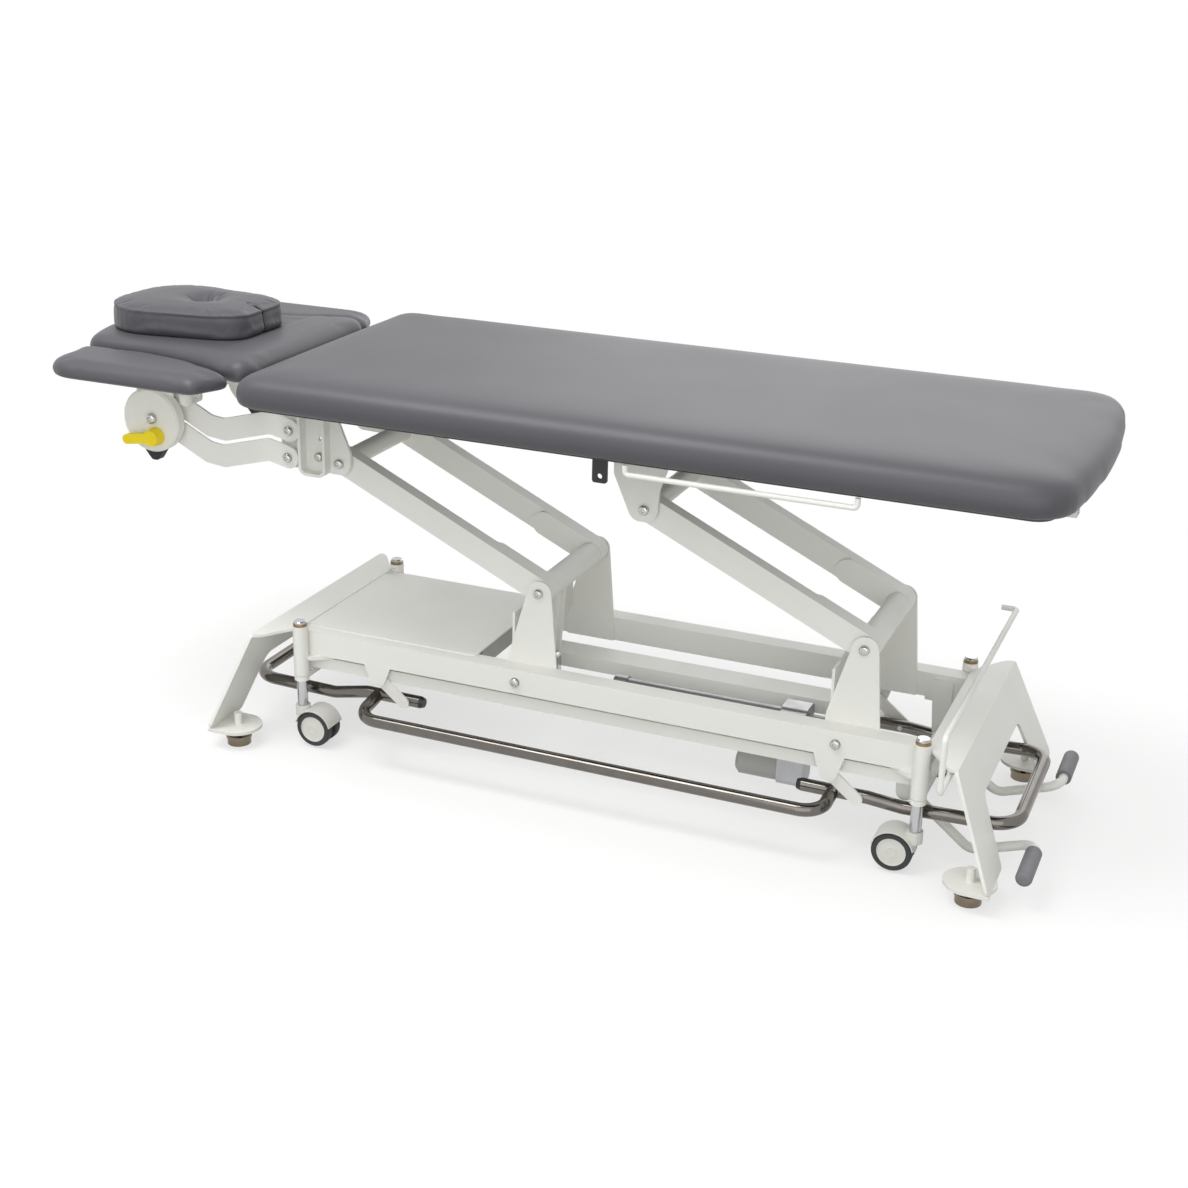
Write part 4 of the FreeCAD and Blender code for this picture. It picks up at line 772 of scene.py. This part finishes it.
@dataclass(frozen=True)
class Turning:
    """A small turned detail on an axis along Y: rings of (radius, height), as shares of its radius.

    Its rings from the one numbered hexagon on follow a hexagonal socket.
    """

    rings: Tuple[Tuple[float, float], ...]
    hexagon: int = NO_HEXAGON
    segments: int = 36

    def add_to(self, shell: bmesh.types.BMesh, centre: Vector, radius: float, outward: float) -> None:
        """Add one copy to a shell.

        Args:
            shell: Shell that gets the faces.
            centre: Middle of its seat.
            radius: Outer radius.
            outward: 1 or -1, the way its face looks along Y.
        """
        rows = []
        for number, (share, rise) in enumerate(self.rings):
            row = []
            for step in range(self.segments):
                turn = 2 * math.pi * step / self.segments
                reach = share * radius
                if number >= self.hexagon:
                    reach /= math.cos((turn % (math.pi / 3)) - math.pi / 6) / math.cos(math.pi / 6)
                spot = Vector((reach * math.cos(turn), outward * rise * radius, reach * math.sin(turn)))
                row.append(shell.verts.new(centre + spot))
            rows.append(row)
        for lower, upper in zip(rows, rows[1:]):
            for step in range(self.segments):
                after = (step + 1) % self.segments
                shell.faces.new((lower[step], lower[after], upper[after], upper[step]))
        shell.faces.new(rows[0])
        shell.faces.new(rows[-1])


BUTTON = Turning(((1.0, -0.05), (1.0, 0.04), (0.95, 0.18), (0.82, 0.34), (0.62, 0.45), (0.46, 0.48), (0.44, 0.44),
                  (0.42, 0.12)), hexagon=5)
SET_SCREW = Turning(((1.0, -0.5), (1.0, 0.06), (0.9, 0.12), (0.55, 0.12), (0.5, -0.3)), hexagon=3)
HUB_RING = Turning(((1.0, -0.1), (1.0, 0.05), (0.96, 0.09), (0.88, 0.09), (0.84, 0.05), (0.84, -0.05)))


@dataclass
class Hardware:
    """Socket heads on the bolts and set screws in the posts."""

    screw_radius: float = 2.6 * MM
    screw_drop: float = 8 * MM
    screw_sink: float = 0.4 * MM

    def build(self) -> None:
        """Build the heads of each bolt node and the set screws."""
        for node, body in (("lower_pivot_pins", Body.BASE), ("column_bolts", Body.BASE),
                           ("upper_pivot_pins", Body.COUCH), ("head_bracket_bolts", Body.COUCH),
                           ("tilt_bolts", Body.CARRIER)):
            shell = bmesh.new()
            for low, high in solids(node):
                outward = -1.0 if low.y + high.y < 0 else 1.0
                face = low.y if outward < 0 else high.y
                centre = Vector(((low.x + high.x) / 2, face, (low.z + high.z) / 2))
                BUTTON.add_to(shell, centre, (high.x - low.x) / 2, outward)
            bmesh.ops.recalc_face_normals(shell, faces=shell.faces)
            settle(new_piece(node + "_heads", shell, smooth=False), body, ZINC)
        shell = bmesh.new()
        for low, high in solids("guide_posts"):
            inward = 1.0 if low.y + high.y < 0 else -1.0
            side = high.y if inward > 0 else low.y
            centre = Vector(((low.x + high.x) / 2, side - inward * self.screw_sink, high.z - self.screw_drop))
            SET_SCREW.add_to(shell, centre, self.screw_radius, inward)
        bmesh.ops.recalc_face_normals(shell, faces=shell.faces)
        settle(new_piece("post_set_screws", shell, smooth=False), Body.BASE, BLACK_ABS)


@dataclass
class CasterWheel:
    """A twin wheel: dark tyres round pale discs, told apart by their distance from the axle."""

    node: str
    body: Body
    disc_share: float = 0.74
    dish: float = 2 * MM
    ring_radius: float = 10 * MM

    def dress(self) -> None:
        """Give the tyres and the discs their own finish."""
        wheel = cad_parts[self.node]
        low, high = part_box(self.node)
        axle = (low + high) / 2
        rim = self.disc_share * (high.z - low.z) / 2
        wheel.data.materials.clear()
        wheel.data.materials.append(TYRE.material())
        wheel.data.materials.append(WHITE_PA.material())
        for face in wheel.data.polygons:
            reach = max(math.hypot(wheel.data.vertices[i].co.x - axle.x, wheel.data.vertices[i].co.z - axle.z)
                        for i in face.vertices)
            face.material_index = 1 if reach < rim else 0
        LOG.info("%s wears %s and %s", self.node, TYRE.name, WHITE_PA.name)
        shell = bmesh.new()
        for face_y, outward in ((low.y + self.dish, -1.0), (high.y - self.dish, 1.0)):
            HUB_RING.add_to(shell, Vector((axle.x, face_y, axle.z)), self.ring_radius, outward)
        bmesh.ops.recalc_face_normals(shell, faces=shell.faces)
        settle(new_piece(self.node + "_ring", shell, smooth=False), self.body, WHITE_PA)


@dataclass
class RunningGear:
    """The four caster wheels."""

    def dress(self) -> None:
        """Dress each wheel."""
        for end in ("head", "foot"):
            for side in ("near", "far"):
                CasterWheel(f"caster_wheel_{end}_{side}", Body(f"wheel_{end}_{side}")).dress()


@dataclass
class StudioLamp:
    """One soft box over the table."""

    name: str
    place: Tuple[float, float, float]
    aim: Tuple[float, float, float]
    side: float
    power: float

    def build(self) -> None:
        """Hang the lamp and turn it to its aim."""
        data = bpy.data.lights.new(self.name, "AREA")
        data.shape = "SQUARE"
        data.size = self.side
        data.energy = self.power
        lamp = bpy.data.objects.new(self.name, data)
        lamp.location = self.place
        lamp.rotation_euler = (Vector(self.aim) - Vector(self.place)).to_track_quat("-Z", "Y").to_euler()
        bpy.context.scene.collection.objects.link(lamp)


@dataclass
class Studio:
    """Pale floor, white surroundings and soft light."""

    floor_side: float = 40.0
    floor_colour: str = "#F6F6F5"
    bounce_colour: str = "#B4B4B2"
    glow_near: float = 0.60
    glow_from: float = 1.0
    glow_full: float = 2.3
    sky_colour: str = "#FFFFFF"
    horizon: float = 0.40
    zenith: float = 0.80
    zenith_from: float = 0.7

    def build(self) -> None:
        """Build the floor, the surroundings and the lamps."""
        self.build_floor()
        self.build_sky()
        middle = (0.0, 0.0, 0.5)
        StudioLamp("key", (-1.0, -1.1, 4.0), middle, side=2.2, power=95).build()
        StudioLamp("fill", (1.6, -4.8, 2.4), middle, side=5.4, power=100).build()
        StudioLamp("back", (0.0, 4.6, 2.6), middle, side=4.4, power=55).build()
        bpy.context.scene.view_settings.view_transform = "Standard"

    @staticmethod
    def looked_at(tree: bpy.types.NodeTree) -> bpy.types.NodeSocket:
        """Tell rays of sight, direct, mirrored or through glass, from rays of light.

        Args:
            tree: Node tree of the floor or of the surroundings.

        Returns:
            Socket that is 1 for a ray of sight and 0 for a ray of light.
        """
        path = add(tree, "ShaderNodeLightPath").outputs
        straight = add(tree, "ShaderNodeMath", {0: path["Is Camera Ray"], 1: path["Is Glossy Ray"]},
                       operation="MAXIMUM")
        both = add(tree, "ShaderNodeMath", {0: straight.outputs[0], 1: path["Is Transmission Ray"]},
                   operation="MAXIMUM")
        return both.outputs[0]

    def build_floor(self) -> None:
        """Build the floor, which glows to the eye, fully so far from the table, and still takes the shadow."""
        sheet = bmesh.new()
        bmesh.ops.create_grid(sheet, x_segments=1, y_segments=1, size=self.floor_side / 2)
        floor = new_piece("floor", sheet, smooth=False)
        made = bpy.data.materials.new("studio_floor")
        made.use_nodes = True
        tree = made.node_tree
        tree.nodes.clear()
        eye = self.looked_at(tree)
        tone = add(tree, "ShaderNodeMix", {0: eye, 6: linear(self.bounce_colour), 7: linear(self.floor_colour)},
                   data_type="RGBA")
        board = add(tree, "ShaderNodeBsdfDiffuse", {"Color": tone.outputs[2]})
        glow = add(tree, "ShaderNodeEmission", {"Color": linear(self.sky_colour), "Strength": 1.0})
        place = add(tree, "ShaderNodeTexCoord").outputs["Object"]
        reach = add(tree, "ShaderNodeVectorMath", {0: place}, operation="LENGTH")
        rising = add(tree, "ShaderNodeMapRange", {"Value": reach.outputs["Value"], "From Min": self.glow_from,
                                                  "From Max": self.glow_full, "To Min": self.glow_near,
                                                  "To Max": 1.0}, interpolation_type="SMOOTHSTEP")
        share = add(tree, "ShaderNodeMath", {0: eye, 1: rising.outputs["Result"]}, operation="MULTIPLY")
        both = add(tree, "ShaderNodeMixShader", {0: share.outputs[0], 1: board.outputs[0], 2: glow.outputs[0]})
        add(tree, "ShaderNodeOutputMaterial", {"Surface": both.outputs[0]})
        floor.data.materials.append(made)

    def build_sky(self) -> None:
        """Light the scene from above more than from the sides, with plain white where the camera looks."""
        sky = bpy.data.worlds.new("studio")
        sky.use_nodes = True
        tree = sky.node_tree
        tree.nodes.clear()
        heading = add(tree, "ShaderNodeTexCoord").outputs["Generated"]
        rise = add(tree, "ShaderNodeSeparateXYZ", {"Vector": heading}).outputs["Z"]
        level = add(tree, "ShaderNodeMapRange", {"Value": rise, "From Min": 0.0, "From Max": self.zenith_from,
                                                 "To Min": self.horizon, "To Max": self.zenith})
        eye = self.looked_at(tree)
        strength = add(tree, "ShaderNodeMix", {0: eye, 2: level.outputs["Result"], 3: 1.0}, data_type="FLOAT")
        light = add(tree, "ShaderNodeBackground", {"Color": linear(self.sky_colour),
                                                   "Strength": strength.outputs[0]})
        add(tree, "ShaderNodeOutputWorld", {"Surface": light.outputs[0]})
        bpy.context.scene.world = sky


@dataclass
class PhotoCamera:
    """The camera at the photograph's viewpoint."""

    place: Tuple[float, float, float] = (1.3211, -3.0746, 1.6279)
    target: Tuple[float, float, float] = (0.0615, 0.0, 0.3459)
    roll: float = 0.0231
    focal_px: float = 1801.6
    sensor_mm: float = 36.0

    def build(self) -> None:
        """Place the camera and make it the scene's own."""
        data = bpy.data.cameras.new("photo_camera")
        data.sensor_width = self.sensor_mm
        data.lens = self.focal_px / PHOTO_SIDE * self.sensor_mm
        ahead = (Vector(self.target) - Vector(self.place)).normalized()
        level = ahead.cross(Vector((0, 0, 1))).normalized()
        rise = level.cross(ahead)
        right = math.cos(self.roll) * level + math.sin(self.roll) * rise
        upward = math.cos(self.roll) * rise - math.sin(self.roll) * level
        camera = bpy.data.objects.new("photo_camera", data)
        camera.matrix_world = Matrix.Translation(self.place) @ Matrix((right, upward, -ahead)).transposed().to_4x4()
        bpy.context.scene.collection.objects.link(camera)
        bpy.context.scene.camera = camera


def main() -> None:
    """Build the camera, the studio and the dressed table in order."""
    logging.basicConfig(level=logging.INFO, format="%(name)s: %(message)s")
    PhotoCamera().build()
    Studio().build()
    PaintedFrame().dress()
    Fittings().dress()
    Hardware().build()
    RunningGear().dress()
    Upholstery().build()


if __name__ == "__main__":
    main()
